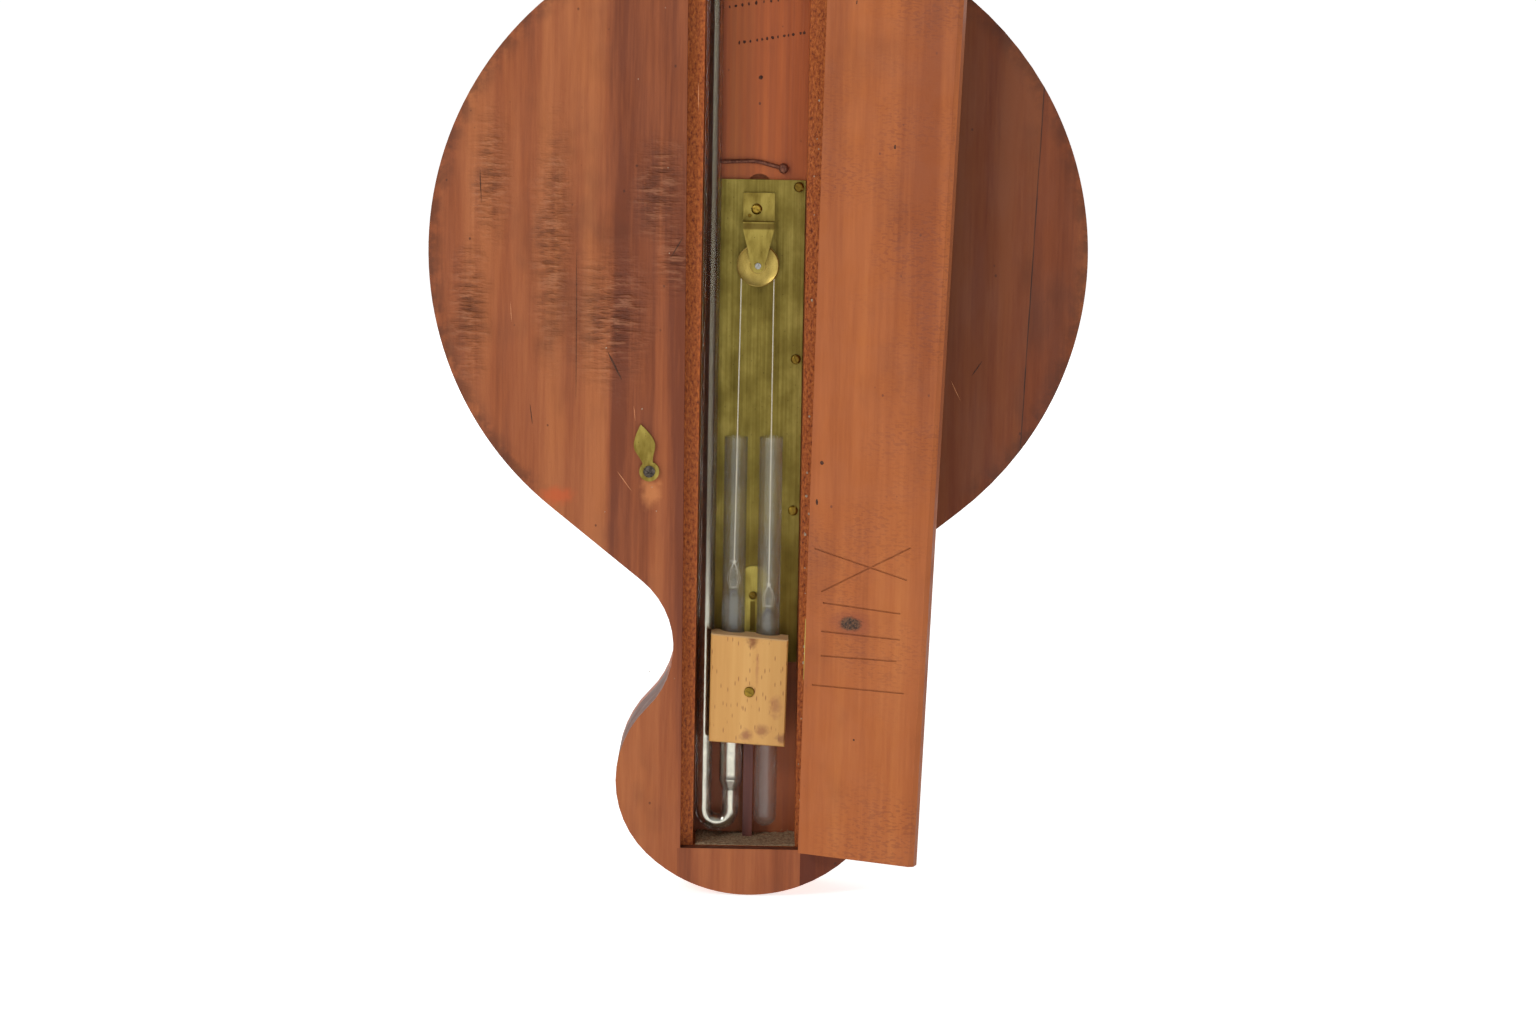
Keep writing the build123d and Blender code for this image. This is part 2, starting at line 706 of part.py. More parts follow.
# ---- Trapdoor, modelled open ----
door_outer = pin_standoff
door_corners = (
    (hinge_edge_x(slot_bottom) + door_gap, slot_bottom + door_gap),
    (catch_edge_x(slot_bottom) - door_gap, slot_bottom + door_gap),
    (catch_edge_x(rebate_top) - door_gap, rebate_top - door_gap),
    (hinge_edge_x(rebate_top) + door_gap, rebate_top - door_gap),
)
tally_width = 0.6
tally_depth = 0.5
tally_strokes = (
    ((3.1, 122.3), (41.2, 113.0)),
    ((6.5, 105.5), (42.3, 125.7)),
    ((7.3, 101.2), (39.1, 99.6)),
    ((7.1, 89.9), (39.3, 89.4)),
    ((7.2, 80.2), (38.2, 80.8)),
    ((4.0, 68.3), (41.7, 68.4)),
)
with BuildPart() as trapdoor:
    with BuildSketch(door_plane(door_open).offset(door_outer)):
        Polygon(*(door_point(x, z) for x, z in door_corners), align=None)
    extrude(amount=door_thick)
    inner_face = trapdoor.faces().sort_by(SortBy.AREA)[-2:].sort_by(Axis.Y)[-1]
    chamfer(inner_face.edges().sort_by(Axis.X)[0], 1.6)
    for start, end in tally_strokes:
        middle = (Vector(*start) + Vector(*end)) / 2
        stroke = Vector(*end) - Vector(*start)
        turn = stroke.get_signed_angle(Vector(1, 0), Vector(0, 0, -1))
        with BuildSketch(door_plane(door_open).offset(door_outer + door_thick)):
            with Locations(Location((middle.X, middle.Y, 0), (0, 0, turn))):
                Rectangle(stroke.length, tally_width)
        extrude(amount=-tally_depth, mode=Mode.SUBTRACT)
    add(door_pockets, mode=Mode.SUBTRACT)
write(trapdoor.part, "trapdoor")

end_knuckles = ((0.0, 7.5), (16.5, 7.5))
middle_knuckle = ((7.85, 8.3),)


def hinge_leaves(angle, leaf_x, knuckles):
    """The leaves of all the hinges on one side of the joint, with their knuckles."""
    with BuildPart() as leaves:
        for foot in hinge_feet:
            with BuildSketch(hinge_section(angle, foot)):
                with Locations((leaf_x, -leaf_low)):
                    Rectangle(leaf_thick, leaf_low - leaf_high, align=(Align.MIN, Align.MIN))
            extrude(amount=hinge_length)
            for start, length in knuckles:
                with BuildSketch(hinge_section(angle, foot + start)):
                    with Locations((leaf_x, -leaf_high - 0.1)):
                        Rectangle(leaf_thick, leaf_high, align=(Align.MIN, Align.MIN))
                    Circle(knuckle_r)
                    Circle(pin_hole_r, mode=Mode.SUBTRACT)
                extrude(amount=length)
    return leaves.part


with BuildPart() as door_hinge_case_leaves:
    add(hinge_leaves(0, -leaf_thick - leaf_gap, end_knuckles))
write(door_hinge_case_leaves.part, "door_hinge_case_leaves")

with BuildPart() as door_hinge_door_leaves:
    add(hinge_leaves(door_open, leaf_gap, middle_knuckle))
write(door_hinge_door_leaves.part, "door_hinge_door_leaves")

# ---- Leaf-shaped turn buttons that hold the door shut ----
catch_places = {"lower_catch": (41.1, -85.6), "upper_catch": (41.5, 400.0)}
catch_lean = 11.0
catch_thick = 1.2
catch_bore_r = 1.8
catch_boss_r = 3.9
for catch_name, place in catch_places.items():
    leaf_plane = Plane(
        origin=(place[0], catch_thick + 0.1, body_z + place[1]),
        x_dir=(cos(radians(catch_lean)), 0, -sin(radians(catch_lean))),
        z_dir=(0, -1, 0),
    )
    with BuildPart() as turn_button:
        with BuildSketch(leaf_plane):
            with BuildLine():
                Line((-1.9, 2.6), (1.9, 2.6))
                Spline((1.9, 2.6), (4.1, 9.5), (0, 18.8), tangents=((0.1, 1), (-0.75, 1)))
                Spline((0, 18.8), (-4.1, 9.5), (-1.9, 2.6), tangents=((-0.75, -1), (0.1, -1)))
            make_face()
            Circle(catch_boss_r)
            Circle(catch_bore_r, mode=Mode.SUBTRACT)
        extrude(amount=catch_thick)
    write(turn_button.part, catch_name)

with BuildPart() as catch_screws:
    for place in catch_places.values():
        with BuildSketch(face_at(-catch_thick - 0.1)):
            with Locations(place):
                Circle(catch_bore_r - run_gap)
        extrude(amount=catch_thick + 0.1)
        with BuildSketch(face_at(-catch_thick - 0.15)):
            with Locations(place):
                Circle(2.3)
        extrude(amount=-0.7)
        with BuildSketch(face_at(-catch_thick - 0.1)):
            with Locations(place):
                Circle(catch_bore_r - run_gap)
        extrude(amount=-0.1)
        with BuildSketch(face_at(-catch_thick - 0.85)):
            with Locations(Location((place[0], place[1], 0), (0, 0, 30))):
                Rectangle(5, 0.6)
        extrude(amount=0.4, mode=Mode.SUBTRACT)
write(catch_screws.part, "catch_screws")

# ---- Pulley, arbor, pointer ----
pulley_back = tube_depth - 1.5
hub_r = 3.0
groove_r = 5.75
with BuildPart() as pulley:
    with BuildSketch(turning_plane(0, arbor_z)):
        with BuildLine():
            boss = Polyline(
                (arbor_r + 0.01, pulley_back - 0.3),
                (hub_r, pulley_back - 0.3),
                (hub_r + 0.2, pulley_back + 0.9),
            )
            dish = ThreePointArc(boss @ 1, (6.2, pulley_back + 0.62), (pulley_r - 0.4, pulley_back))
            Polyline(
                dish @ 1,
                (pulley_r, pulley_back + 0.3),
                (pulley_r, pulley_back + 0.75),
                (groove_r, pulley_back + 1.1),
                (groove_r, pulley_back + 2.05),
                (pulley_r, pulley_back + 2.3),
                (pulley_r, pulley_back + 3.0),
                (arbor_r + 0.01, pulley_back + 3.0),
                boss @ 0,
            )
        make_face()
    revolve(axis=turning_axis(0, arbor_z))
write(pulley.part, "pulley")

with BuildPart() as pulley_arbor:
    with BuildSketch(face_at(arm_face - 0.5, arbor_z)):
        Circle(arbor_r)
    extrude(amount=41.0 - arm_face + 0.5)
write(pulley_arbor.part, "pulley_arbor")

pointer_depth = 38.2
pointer_tip = 90.0
pointer_tail = 34.0
with BuildPart() as pointer:
    with BuildSketch(face_at(pointer_depth, arbor_z)):
        Polygon(
            (-2.2, 0),
            (-1.0, 62),
            (1.0, 62),
            (2.2, 0),
            (1.4, -pointer_tail),
            (-1.4, -pointer_tail),
            align=None,
        )
        Polygon((-1.0, 62), (-5.0, 66), (0, pointer_tip), (5.0, 66), (1.0, 62), align=None)
        with Locations((0, -pointer_tail)):
            Circle(5.0)
            Circle(3.2, mode=Mode.SUBTRACT)
    extrude(amount=0.6)
    with BuildSketch(face_at(pointer_depth - 0.9, arbor_z)):
        Circle(3.4)
    extrude(amount=2.6)
    with BuildSketch(face_at(pointer_depth - 2, arbor_z)):
        Circle(arbor_r + 0.01)
    extrude(amount=6, mode=Mode.SUBTRACT)
write(pointer.part, "pointer")

# ---- Float, counterweight and their threads ----
bob_r = 3.2
bead_r = 1.4
bead_rise = 7.1          # the bead's centre above the shoulder
neck_r = 0.8


def glass_bob(x, shoulder, foot):
    """A glass bob with a neck and a bead, turned about its vertical axis."""
    bead = shoulder + bead_rise
    bead_foot = bead - sqrt(bead_r**2 - neck_r**2)
    with BuildPart() as bob:
        with BuildSketch(upright_plane(x, tube_depth)):
            with BuildLine():
                Line((0, foot), (0, bead + bead_r))
                ThreePointArc((0, bead + bead_r), (bead_r, bead), (neck_r, bead_foot))
                Line((neck_r, bead_foot), (1.0, shoulder + 4.0))
                ThreePointArc((1.0, shoulder + 4.0), (2.4, shoulder + 1.8), (bob_r, shoulder - 2))
                Line((bob_r, shoulder - 2), (bob_r, foot + bob_r))
                RadiusArc((bob_r, foot + bob_r), (0, foot), bob_r)
            make_face()
        revolve(axis=upright_axis(x, tube_depth))
    return bob.part


def bob_thread(top_x, foot_x, foot):
    """The thread from the pulley's groove down to a bob."""
    start = Vector(top_x, -tube_depth, body_z + arbor_z)
    finish = Vector(foot_x, -tube_depth, body_z + foot)
    with BuildPart() as thread:
        with BuildSketch(Plane(origin=start, z_dir=finish - start)):
            Circle(thread_r)
        extrude(amount=(finish - start).length)
    return thread.part


float_shoulder = -139.6
weight_shoulder = -147.0
with BuildPart() as glass_float:
    add(glass_bob(float_x, float_shoulder, mercury_z))
write(glass_float.part, "glass_float")

with BuildPart() as glass_counterweight:
    add(glass_bob(weight_x, weight_shoulder, weight_shoulder - 18))
write(glass_counterweight.part, "glass_counterweight")

with BuildPart() as float_thread:
    add(bob_thread(thread_x, float_x, float_shoulder + 8.6))
write(float_thread.part, "float_thread")

with BuildPart() as counterweight_thread:
    add(bob_thread(-thread_x, weight_x, weight_shoulder + 8.6))
write(counterweight_thread.part, "counterweight_thread")

# ---- Dial and the glazed bezel that opens over it ----
dial_thick = 1.2
dial_screw_places = [
    (94 * cos(radians(angle)), arbor_z + 94 * sin(radians(angle))) for angle in (0, 180, 270)
]
bezel_leaf_screws = [(-122.0, arbor_z - 9), (-122.0, arbor_z + 9)]
level_screws = [(-31, level_z), (31, level_z)]
with BuildPart() as dial_plate:
    with BuildSketch(face_at(recess_depth, arbor_z)):
        Circle(dial_r)
        Circle(2.2, mode=Mode.SUBTRACT)
    extrude(amount=dial_thick)
    with BuildSketch(face_at(recess_depth)):
        with Locations(*dial_screw_places):
            Circle(0.9)
    extrude(amount=dial_thick, mode=Mode.SUBTRACT)
write(dial_plate.part, "dial_plate")

with BuildPart() as front_screws:
    add(screw_set(dial_screw_places, recess_depth + dial_thick, 1.8, 0.9, 0.85, dial_thick, -1))
    add(screw_set(bezel_leaf_screws, front_depth + 1.0, 1.7, 0.8, 0.85, 1.0, -1))
    add(screw_set(level_screws, front_depth + 1.2, 1.8, 0.9, 0.85, 1.2, -1))
write(front_screws.part, "front_screws")

bezel_centre = turning_plane(0, arbor_z)
glass_back = 44.9
glass_thick = 2.0
glass_rise = 7.0
glass_r = 102.5
glass_curve = 725.0
glass_hole_r = 1.56
rebate_step = 44.2
with BuildPart() as bezel_ring:
    with BuildSketch(bezel_centre):
        with BuildLine():
            Polyline(
                (99.5, rebate_step),
                (99.5, bezel_back),
                (bezel_r, bezel_back),
                (bezel_r, bezel_back + 3.5),
            )
            ThreePointArc((bezel_r, bezel_back + 3.5), (108.5, 49.0), (103.5, 51.0))
            Polyline((103.5, 51.0), (100.5, 49.8), (100.5, 47.7), (102.8, 47.7), (102.8, rebate_step))
            Line((102.8, rebate_step), (99.5, rebate_step))
        make_face()
    revolve(axis=turning_axis(0, arbor_z))
    with BuildSketch(Plane.XY.offset(body_z + arbor_z - 6)):
        with Locations((bezel_pin_x, -bezel_pin_depth)):
            Circle(2.2)
            Rectangle(9.0, 2.6, align=(Align.MIN, Align.CENTER))
            Circle(1.06, mode=Mode.SUBTRACT)
    extrude(amount=12)
write(bezel_ring.part, "bezel_ring")

with BuildPart() as dial_glass:
    with BuildSketch(bezel_centre):
        with BuildLine():
            back_crown = (glass_hole_r, glass_back + glass_rise)
            front_crown = (glass_hole_r, glass_back + glass_thick + glass_rise)
            Line(front_crown, back_crown)
            RadiusArc(back_crown, (glass_r, glass_back), glass_curve)
            Line((glass_r, glass_back), (glass_r, glass_back + glass_thick))
            RadiusArc((glass_r, glass_back + glass_thick), front_crown, -glass_curve)
        make_face()
    revolve(axis=turning_axis(0, arbor_z))
write(dial_glass.part, "dial_glass")

with BuildPart() as bezel_hinge_leaf:
    with BuildSketch(face_at(front_depth, arbor_z)):
        with Locations((-121.6, 0)):
            Rectangle(8.4, 30)
        with Locations(*[(x, z - arbor_z) for x, z in bezel_leaf_screws]):
            Circle(0.9, mode=Mode.SUBTRACT)
    extrude(amount=1.0)
    for low in (-15.0, 6.3):
        with BuildSketch(Plane.XY.offset(body_z + arbor_z + low)):
            with Locations((bezel_pin_x, -bezel_pin_depth)):
                Circle(2.2)
            with Locations((bezel_pin_x - 2.2, -front_depth)):
                Rectangle(1.6, bezel_pin_depth - front_depth, align=(Align.MIN, Align.MAX))
            with Locations((bezel_pin_x, -bezel_pin_depth)):
                Circle(1.06, mode=Mode.SUBTRACT)
        extrude(amount=8.7)
write(bezel_hinge_leaf.part, "bezel_hinge_leaf")

with BuildPart() as hinge_pins:
    for foot in hinge_feet:
        with BuildSketch(hinge_section(0, foot)):
            Circle(pin_r)
        extrude(amount=hinge_length)
    with BuildSketch(Plane.XY.offset(body_z + arbor_z - 15.5)):
        with Locations((bezel_pin_x, -bezel_pin_depth)):
            Circle(1.0)
    extrude(amount=31)
write(hinge_pins.part, "hinge_pins")

with BuildPart() as set_hand:
    with BuildSketch(face_at(42.9, arbor_z)):
        Polygon((-1.4, 0), (-0.7, 78), (0, 86), (0.7, 78), (1.4, 0), (1.2, -24), (-1.2, -24),
                align=None)
        with Locations((0, -24)):
            Circle(4.2)
        Circle(3.0)
        Circle(1.5, mode=Mode.SUBTRACT)
    extrude(amount=0.5)
write(set_hand.part, "set_hand")

with BuildPart() as set_knob:
    with BuildSketch(turning_plane(0, arbor_z)):
        with BuildLine():
            Polyline((0, 42.4), (1.5, 42.4), (1.5, 54.6), (2.6, 54.6), (2.6, 57.0), (6.4, 58.2))
            ThreePointArc((6.4, 58.2), (7.2, 60.3), (6.4, 62.4))
            Polyline((6.4, 62.4), (3.0, 63.4), (0, 63.4), (0, 42.4))
        make_face()
    revolve(axis=turning_axis(0, arbor_z))
write(set_knob.part, "set_knob")

# ---- Thermometer on the neck ----
thermometer_mid = (thermometer_low + thermometer_high) / 2
thermometer_long = thermometer_high - thermometer_low
thermometer_wide = 54.0
thermometer_wall = 5.0
thermometer_deep = 13.2
pane_wide = thermometer_wide - 2 * thermometer_wall - 0.4
pane_long = thermometer_long - 2 * thermometer_wall - 0.4
with BuildPart() as thermometer_case:
    with BuildSketch(face_at(front_depth)):
        with Locations((0, thermometer_mid)):
            RectangleRounded(thermometer_wide, thermometer_long, 4)
            RectangleRounded(
                thermometer_wide - 2 * thermometer_wall,
                thermometer_long - 2 * thermometer_wall,
                2,
                mode=Mode.SUBTRACT,
            )
    extrude(amount=thermometer_deep)
    rim = thermometer_case.faces().sort_by(Axis.Y)[0]
    fillet(rim.outer_wire().edges(), 2.4)
write(thermometer_case.part, "thermometer_case")

with BuildPart() as thermometer_scale:
    with BuildSketch(face_at(front_depth)):
        with Locations((0, thermometer_mid)):
            RectangleRounded(pane_wide, pane_long, 1.8)
    extrude(amount=1.0)
write(thermometer_scale.part, "thermometer_scale")

stem_low = thermometer_low + 20
stem_high = thermometer_high - 16
stem_depth = front_depth + 5.4
stem_r = 2.0
stem_bore_r = 0.6
bulb_r = 4.2
bulb_bore_r = 3.4


def round_neck(bulb, stem):
    """Height above the bulb's centre where a stem of the given radius meets it."""
    return stem_low + sqrt(bulb**2 - stem**2)


bore_top = stem_high - 3
bore_joint = (stem_bore_r, round_neck(bulb_bore_r, stem_bore_r))
bulb_joint = (stem_r, round_neck(bulb_r, stem_r))
with BuildPart() as thermometer_tube:
    with BuildSketch(upright_plane(0, stem_depth)):
        with BuildLine():
            Line((0, stem_low - bulb_r), (0, stem_low - bulb_bore_r))
            ThreePointArc((0, stem_low - bulb_bore_r), (bulb_bore_r, stem_low), bore_joint)
            Polyline(bore_joint, (stem_bore_r, bore_top), (0, bore_top), (0, stem_high))
            RadiusArc((0, stem_high), (stem_r, stem_high - stem_r), stem_r)
            Line((stem_r, stem_high - stem_r), bulb_joint)
            ThreePointArc(bulb_joint, (bulb_r, stem_low), (0, stem_low - bulb_r))
        make_face()
    revolve(axis=upright_axis(0, stem_depth))
write(thermometer_tube.part, "thermometer_tube")

spirit_r = stem_bore_r - film
pool_r = bulb_bore_r - film
spirit_top = stem_low + 120
pool_joint = (spirit_r, round_neck(pool_r, spirit_r))
with BuildPart() as thermometer_spirit:
    with BuildSketch(upright_plane(0, stem_depth)):
        with BuildLine():
            Polyline((0, stem_low - pool_r), (0, spirit_top), (spirit_r, spirit_top), pool_joint)
            ThreePointArc(pool_joint, (pool_r, stem_low), (0, stem_low - pool_r))
        make_face()
    revolve(axis=upright_axis(0, stem_depth))
write(thermometer_spirit.part, "thermometer_spirit")

with BuildPart() as thermometer_glass:
    with BuildSketch(face_at(front_depth + thermometer_deep - 2.4)):
        with Locations((0, thermometer_mid)):
            RectangleRounded(pane_wide, pane_long, 1.8)
    extrude(amount=1.4)
write(thermometer_glass.part, "thermometer_glass")

# ---- Hygrometer at the top of the neck ----
gauge_plane = turning_plane(0, gauge_z)
gauge_axis = turning_axis(0, gauge_z)
gauge_pane_r = 29.1
gauge_pane_back = 43.9
with BuildPart() as hygrometer_bezel:
    with BuildSketch(gauge_plane):
        with BuildLine():
            Polyline((29.2, front_depth), (33.5, front_depth), (33.5, front_depth + 3))
            ThreePointArc((33.5, front_depth + 3), (32.5, 45.4), (29.8, 46.4))
            Polyline((29.8, 46.4), (28.2, 45.6), (28.2, 45.3), (29.2, 45.3), (29.2, front_depth))
        make_face()
    revolve(axis=gauge_axis)
write(hygrometer_bezel.part, "hygrometer_bezel")

with BuildPart() as hygrometer_dial:
    with BuildSketch(face_at(front_depth, gauge_z)):
        Circle(gauge_pane_r)
        Circle(0.86, mode=Mode.SUBTRACT)
    extrude(amount=1.0)
write(hygrometer_dial.part, "hygrometer_dial")

with BuildPart() as hygrometer_glass:
    with BuildSketch(face_at(gauge_pane_back, gauge_z)):
        Circle(gauge_pane_r)
    extrude(amount=1.3)
write(hygrometer_glass.part, "hygrometer_glass")

with BuildPart() as hygrometer_hand:
    with BuildSketch(face_at(33.0, gauge_z)):
        Circle(0.8)
    extrude(amount=9.2)
    with BuildSketch(face_at(41.4, gauge_z)):
        Polygon((-0.9, 0), (0, 24), (0.9, 0), (0.6, -9), (-0.6, -9), align=None)
        Circle(2.0)
        with Locations((0, -9)):
            Circle(1.8)
    extrude(amount=0.5)
write(hygrometer_hand.part, "hygrometer_hand")

# ---- Spirit level at the foot ----
with BuildPart() as spirit_level_plate:
    with BuildSketch(face_at(front_depth, level_z)):
        SlotOverall(76, 20)
        SlotOverall(46, 7.2, mode=Mode.SUBTRACT)
        with Locations((-31, 0), (31, 0)):
            Circle(0.9, mode=Mode.SUBTRACT)
    extrude(amount=1.2)
    chamfer(spirit_level_plate.faces().sort_by(Axis.Y)[0].outer_wire().edges(), 0.5)
write(spirit_level_plate.part, "spirit_level_plate")

vial_r = 3.3
vial_long = 42.0
vial_end = (-vial_long / 2, -(front_depth + 0.9), body_z + level_z)
with BuildPart() as spirit_level_vial:
    with BuildSketch(Plane(origin=vial_end, z_dir=(1, 0, 0))):
        Circle(vial_r)
    extrude(amount=vial_long)
    fillet(spirit_level_vial.edges().filter_by(GeomType.CIRCLE), 1.6)
write(spirit_level_vial.part, "spirit_level_vial")
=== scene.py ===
"""Looks of the wheel barometer: materials, fine pieces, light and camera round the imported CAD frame."""

import math
import random

import bmesh
import bpy
from mathutils import Matrix, Vector


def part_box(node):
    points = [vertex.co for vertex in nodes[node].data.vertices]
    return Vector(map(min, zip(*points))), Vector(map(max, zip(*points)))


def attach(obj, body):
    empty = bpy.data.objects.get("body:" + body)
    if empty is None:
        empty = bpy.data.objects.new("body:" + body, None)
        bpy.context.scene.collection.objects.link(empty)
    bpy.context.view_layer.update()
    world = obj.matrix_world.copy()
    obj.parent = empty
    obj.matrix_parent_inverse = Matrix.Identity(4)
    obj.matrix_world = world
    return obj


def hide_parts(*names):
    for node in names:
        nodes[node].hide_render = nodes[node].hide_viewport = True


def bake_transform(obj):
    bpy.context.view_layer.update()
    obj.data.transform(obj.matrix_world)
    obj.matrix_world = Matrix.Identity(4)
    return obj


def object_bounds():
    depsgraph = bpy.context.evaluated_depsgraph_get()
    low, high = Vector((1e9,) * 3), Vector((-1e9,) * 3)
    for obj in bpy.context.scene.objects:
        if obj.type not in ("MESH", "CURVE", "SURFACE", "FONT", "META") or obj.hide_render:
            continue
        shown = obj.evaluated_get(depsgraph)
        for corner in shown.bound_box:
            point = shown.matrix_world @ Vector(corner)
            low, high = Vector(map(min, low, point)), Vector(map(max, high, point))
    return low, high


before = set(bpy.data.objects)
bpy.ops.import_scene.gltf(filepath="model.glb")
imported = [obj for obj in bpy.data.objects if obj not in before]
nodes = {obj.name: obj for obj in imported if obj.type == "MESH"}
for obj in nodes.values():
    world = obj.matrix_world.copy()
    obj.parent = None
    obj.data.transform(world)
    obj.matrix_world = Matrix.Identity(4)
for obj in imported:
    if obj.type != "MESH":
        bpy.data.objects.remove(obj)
cad_low, cad_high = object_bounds()

MM = 0.001
BODY_Z = -700.0  # centre of the round body below the hanging hole, in millimetres
ARBOR_Z = -6.0
TUBE_DEPTH = 21.5
SEAM_X = -106.66  # the outer cheek's glued seam on the hinge side, level with the body's centre
SEAM_LEAN = 0.0394
HINGE_LEAN = 0.0147
KNOT_WIDE = 0.0052  # half sizes of the door's knot, in metres
KNOT_HIGH = 0.0033


# ---- Places, in millimetres: across, depth into the case from the back, height over the body's centre ----
def at(x, depth, height):
    """A point of the frame, in metres."""
    return Vector((x, -depth, BODY_Z + height)) * MM


def srgb(red, green, blue):
    """A colour as seen on screen, 0 to 255, turned into the linear colour that shaders take."""
    shares = (c / 255 for c in (red, green, blue))
    return (*(c / 12.92 if c <= 0.04045 else ((c + 0.055) / 1.055) ** 2.4 for c in shares), 1.0)


# ---- Node trees ----
class Look:
    """One material's node tree. Each call adds nodes and returns an output socket."""

    def __init__(self, name):
        self.material = bpy.data.materials.new(name)
        self.material.use_nodes = True
        self.tree = self.material.node_tree
        self.shader = self.tree.nodes["Principled BSDF"]
        coordinates = self.tree.nodes.new("ShaderNodeTexCoord")
        self.place = coordinates.outputs["Object"]
        self.facing = coordinates.outputs["Normal"]

    def put(self, socket, value):
        if isinstance(value, bpy.types.NodeSocket):
            self.tree.links.new(value, socket)
        else:
            socket.default_value = value

    def vector(self, operation, first, second):
        node = self.tree.nodes.new("ShaderNodeVectorMath")
        node.operation = operation
        self.put(node.inputs[0], first)
        if second is not None:
            self.put(node.inputs[1], second)
        return node.outputs["Value" if operation == "LENGTH" else "Vector"]

    def math(self, operation, first, second=0.0):
        node = self.tree.nodes.new("ShaderNodeMath")
        node.operation = operation
        node.use_clamp = operation in ("MAXIMUM", "MULTIPLY", "ADD", "SUBTRACT")
        self.put(node.inputs[0], first)
        self.put(node.inputs[1], second)
        return node.outputs[0]

    def unheld(self, operation, *values):
        """Arithmetic whose result may leave 0 to 1."""
        node = self.tree.nodes.new("ShaderNodeMath")
        node.operation = operation
        for socket, value in zip(node.inputs, values):
            self.put(socket, value)
        return node.outputs[0]

    def part(self, vector, axis):
        node = self.tree.nodes.new("ShaderNodeSeparateXYZ")
        self.put(node.inputs[0], vector)
        return node.outputs[axis]

    def moved(self, stretch=(1, 1, 1), shift=(0, 0, 0)):
        """The place on the piece in metres, stretched and shifted."""
        scaled = self.vector("MULTIPLY", self.place, stretch)
        return self.vector("ADD", scaled, shift)

    def noise(self, grain_mm, detail=3.0, rough=0.55, stretch=(1, 1, 1), seed=0.0, warp=0.0):
        """Cloudy noise from 0 to 1 whose lumps are about grain_mm wide."""
        node = self.tree.nodes.new("ShaderNodeTexNoise")
        self.put(node.inputs["Vector"], self.moved(stretch, (seed, seed * 0.7, seed * 1.3)))
        node.inputs["Scale"].default_value = 1000.0 / grain_mm
        node.inputs["Detail"].default_value = detail
        node.inputs["Roughness"].default_value = rough
        node.inputs["Distortion"].default_value = warp
        return node.outputs["Fac"]

    def cells(self, grain_mm, stretch=(1, 1, 1), seed=0.0):
        """Distance to the nearest of scattered points about grain_mm apart."""
        node = self.tree.nodes.new("ShaderNodeTexVoronoi")
        self.put(node.inputs["Vector"], self.moved(stretch, (seed, seed * 0.6, seed * 1.7)))
        node.inputs["Scale"].default_value = 1000.0 / grain_mm
        return node.outputs["Distance"]

    def waves(self, width_mm, axis, warp=2.0, detail=2.0, stretch=(1, 1, 1), seed=0.0):
        node = self.tree.nodes.new("ShaderNodeTexWave")
        node.bands_direction = axis
        self.put(node.inputs["Vector"], self.moved(stretch, (seed, seed, seed)))
        node.inputs["Scale"].default_value = 1000.0 / width_mm / 3.2
        node.inputs["Distortion"].default_value = warp
        node.inputs["Detail"].default_value = detail
        node.inputs["Detail Scale"].default_value = 1.5
        return node.outputs["Fac"]

    def between(self, value, low, high, to_low=0.0, to_high=1.0):
        """value's way from low to high, smoothed and held at both ends."""
        node = self.tree.nodes.new("ShaderNodeMapRange")
        node.interpolation_type = "SMOOTHSTEP"
        self.put(node.inputs["Value"], value)
        for name, number in zip(("From Min", "From Max", "To Min", "To Max"), (low, high, to_low, to_high)):
            node.inputs[name].default_value = number
        return node.outputs[0]

    def ramp(self, value, stops):
        node = self.tree.nodes.new("ShaderNodeValToRGB")
        elements = node.color_ramp.elements
        while len(elements) < len(stops):
            elements.new(0.5)
        for element, (place, colour) in zip(elements, stops):
            element.position = place
            element.color = colour
        self.put(node.inputs[0], value)
        return node.outputs["Color"]

    def mix(self, under, over, share, blend="MIX"):
        node = self.tree.nodes.new("ShaderNodeMix")
        node.data_type = "RGBA"
        node.blend_type = blend
        self.put(node.inputs["Factor"], share)
        self.put(node.inputs[6], under)
        self.put(node.inputs[7], over)
        return node.outputs[2]

    def spot(self, x, height, half_x, half_z, soft=0.4, wobble=0.5, wobble_mm=6.0, seed=0.0):
        """1 inside an uneven oval on the case's back, fading to 0 at its edge."""
        offset = self.vector("SUBTRACT", self.place, at(x, 0, height))
        scaled = self.vector("MULTIPLY", offset, (1000 / half_x, 0, 1000 / half_z))
        far = self.vector("LENGTH", scaled, None)
        ragged = self.math("MULTIPLY", self.noise(wobble_mm, seed=seed), wobble)
        edge = 1 + wobble / 2
        return self.between(self.unheld("ADD", far, ragged), edge, edge - soft)

    def bump(self, height, distance_mm, strength=1.0, under=None):
        node = self.tree.nodes.new("ShaderNodeBump")
        node.inputs["Strength"].default_value = strength
        node.inputs["Distance"].default_value = distance_mm * MM
        self.put(node.inputs["Height"], height)
        if under is not None:
            self.put(node.inputs["Normal"], under)
        return node.outputs["Normal"]

    def done(self, colour, roughness, normal=None, **settings):
        self.put(self.shader.inputs["Base Color"], colour)
        self.put(self.shader.inputs["Roughness"], roughness)
        if normal is not None:
            self.put(self.shader.inputs["Normal"], normal)
        for name, value in settings.items():
            self.put(self.shader.inputs[name.replace("_", " ")], value)
        return self.material


# ---- Woods ----
WOOD_DARK = srgb(112, 55, 30)
WOOD_MID = srgb(145, 78, 43)
WOOD_LIGHT = srgb(166, 97, 55)
WOOD_GRIME_AND_SHADE = srgb(66, 36, 24)
WOOD_RAW = srgb(206, 132, 78)
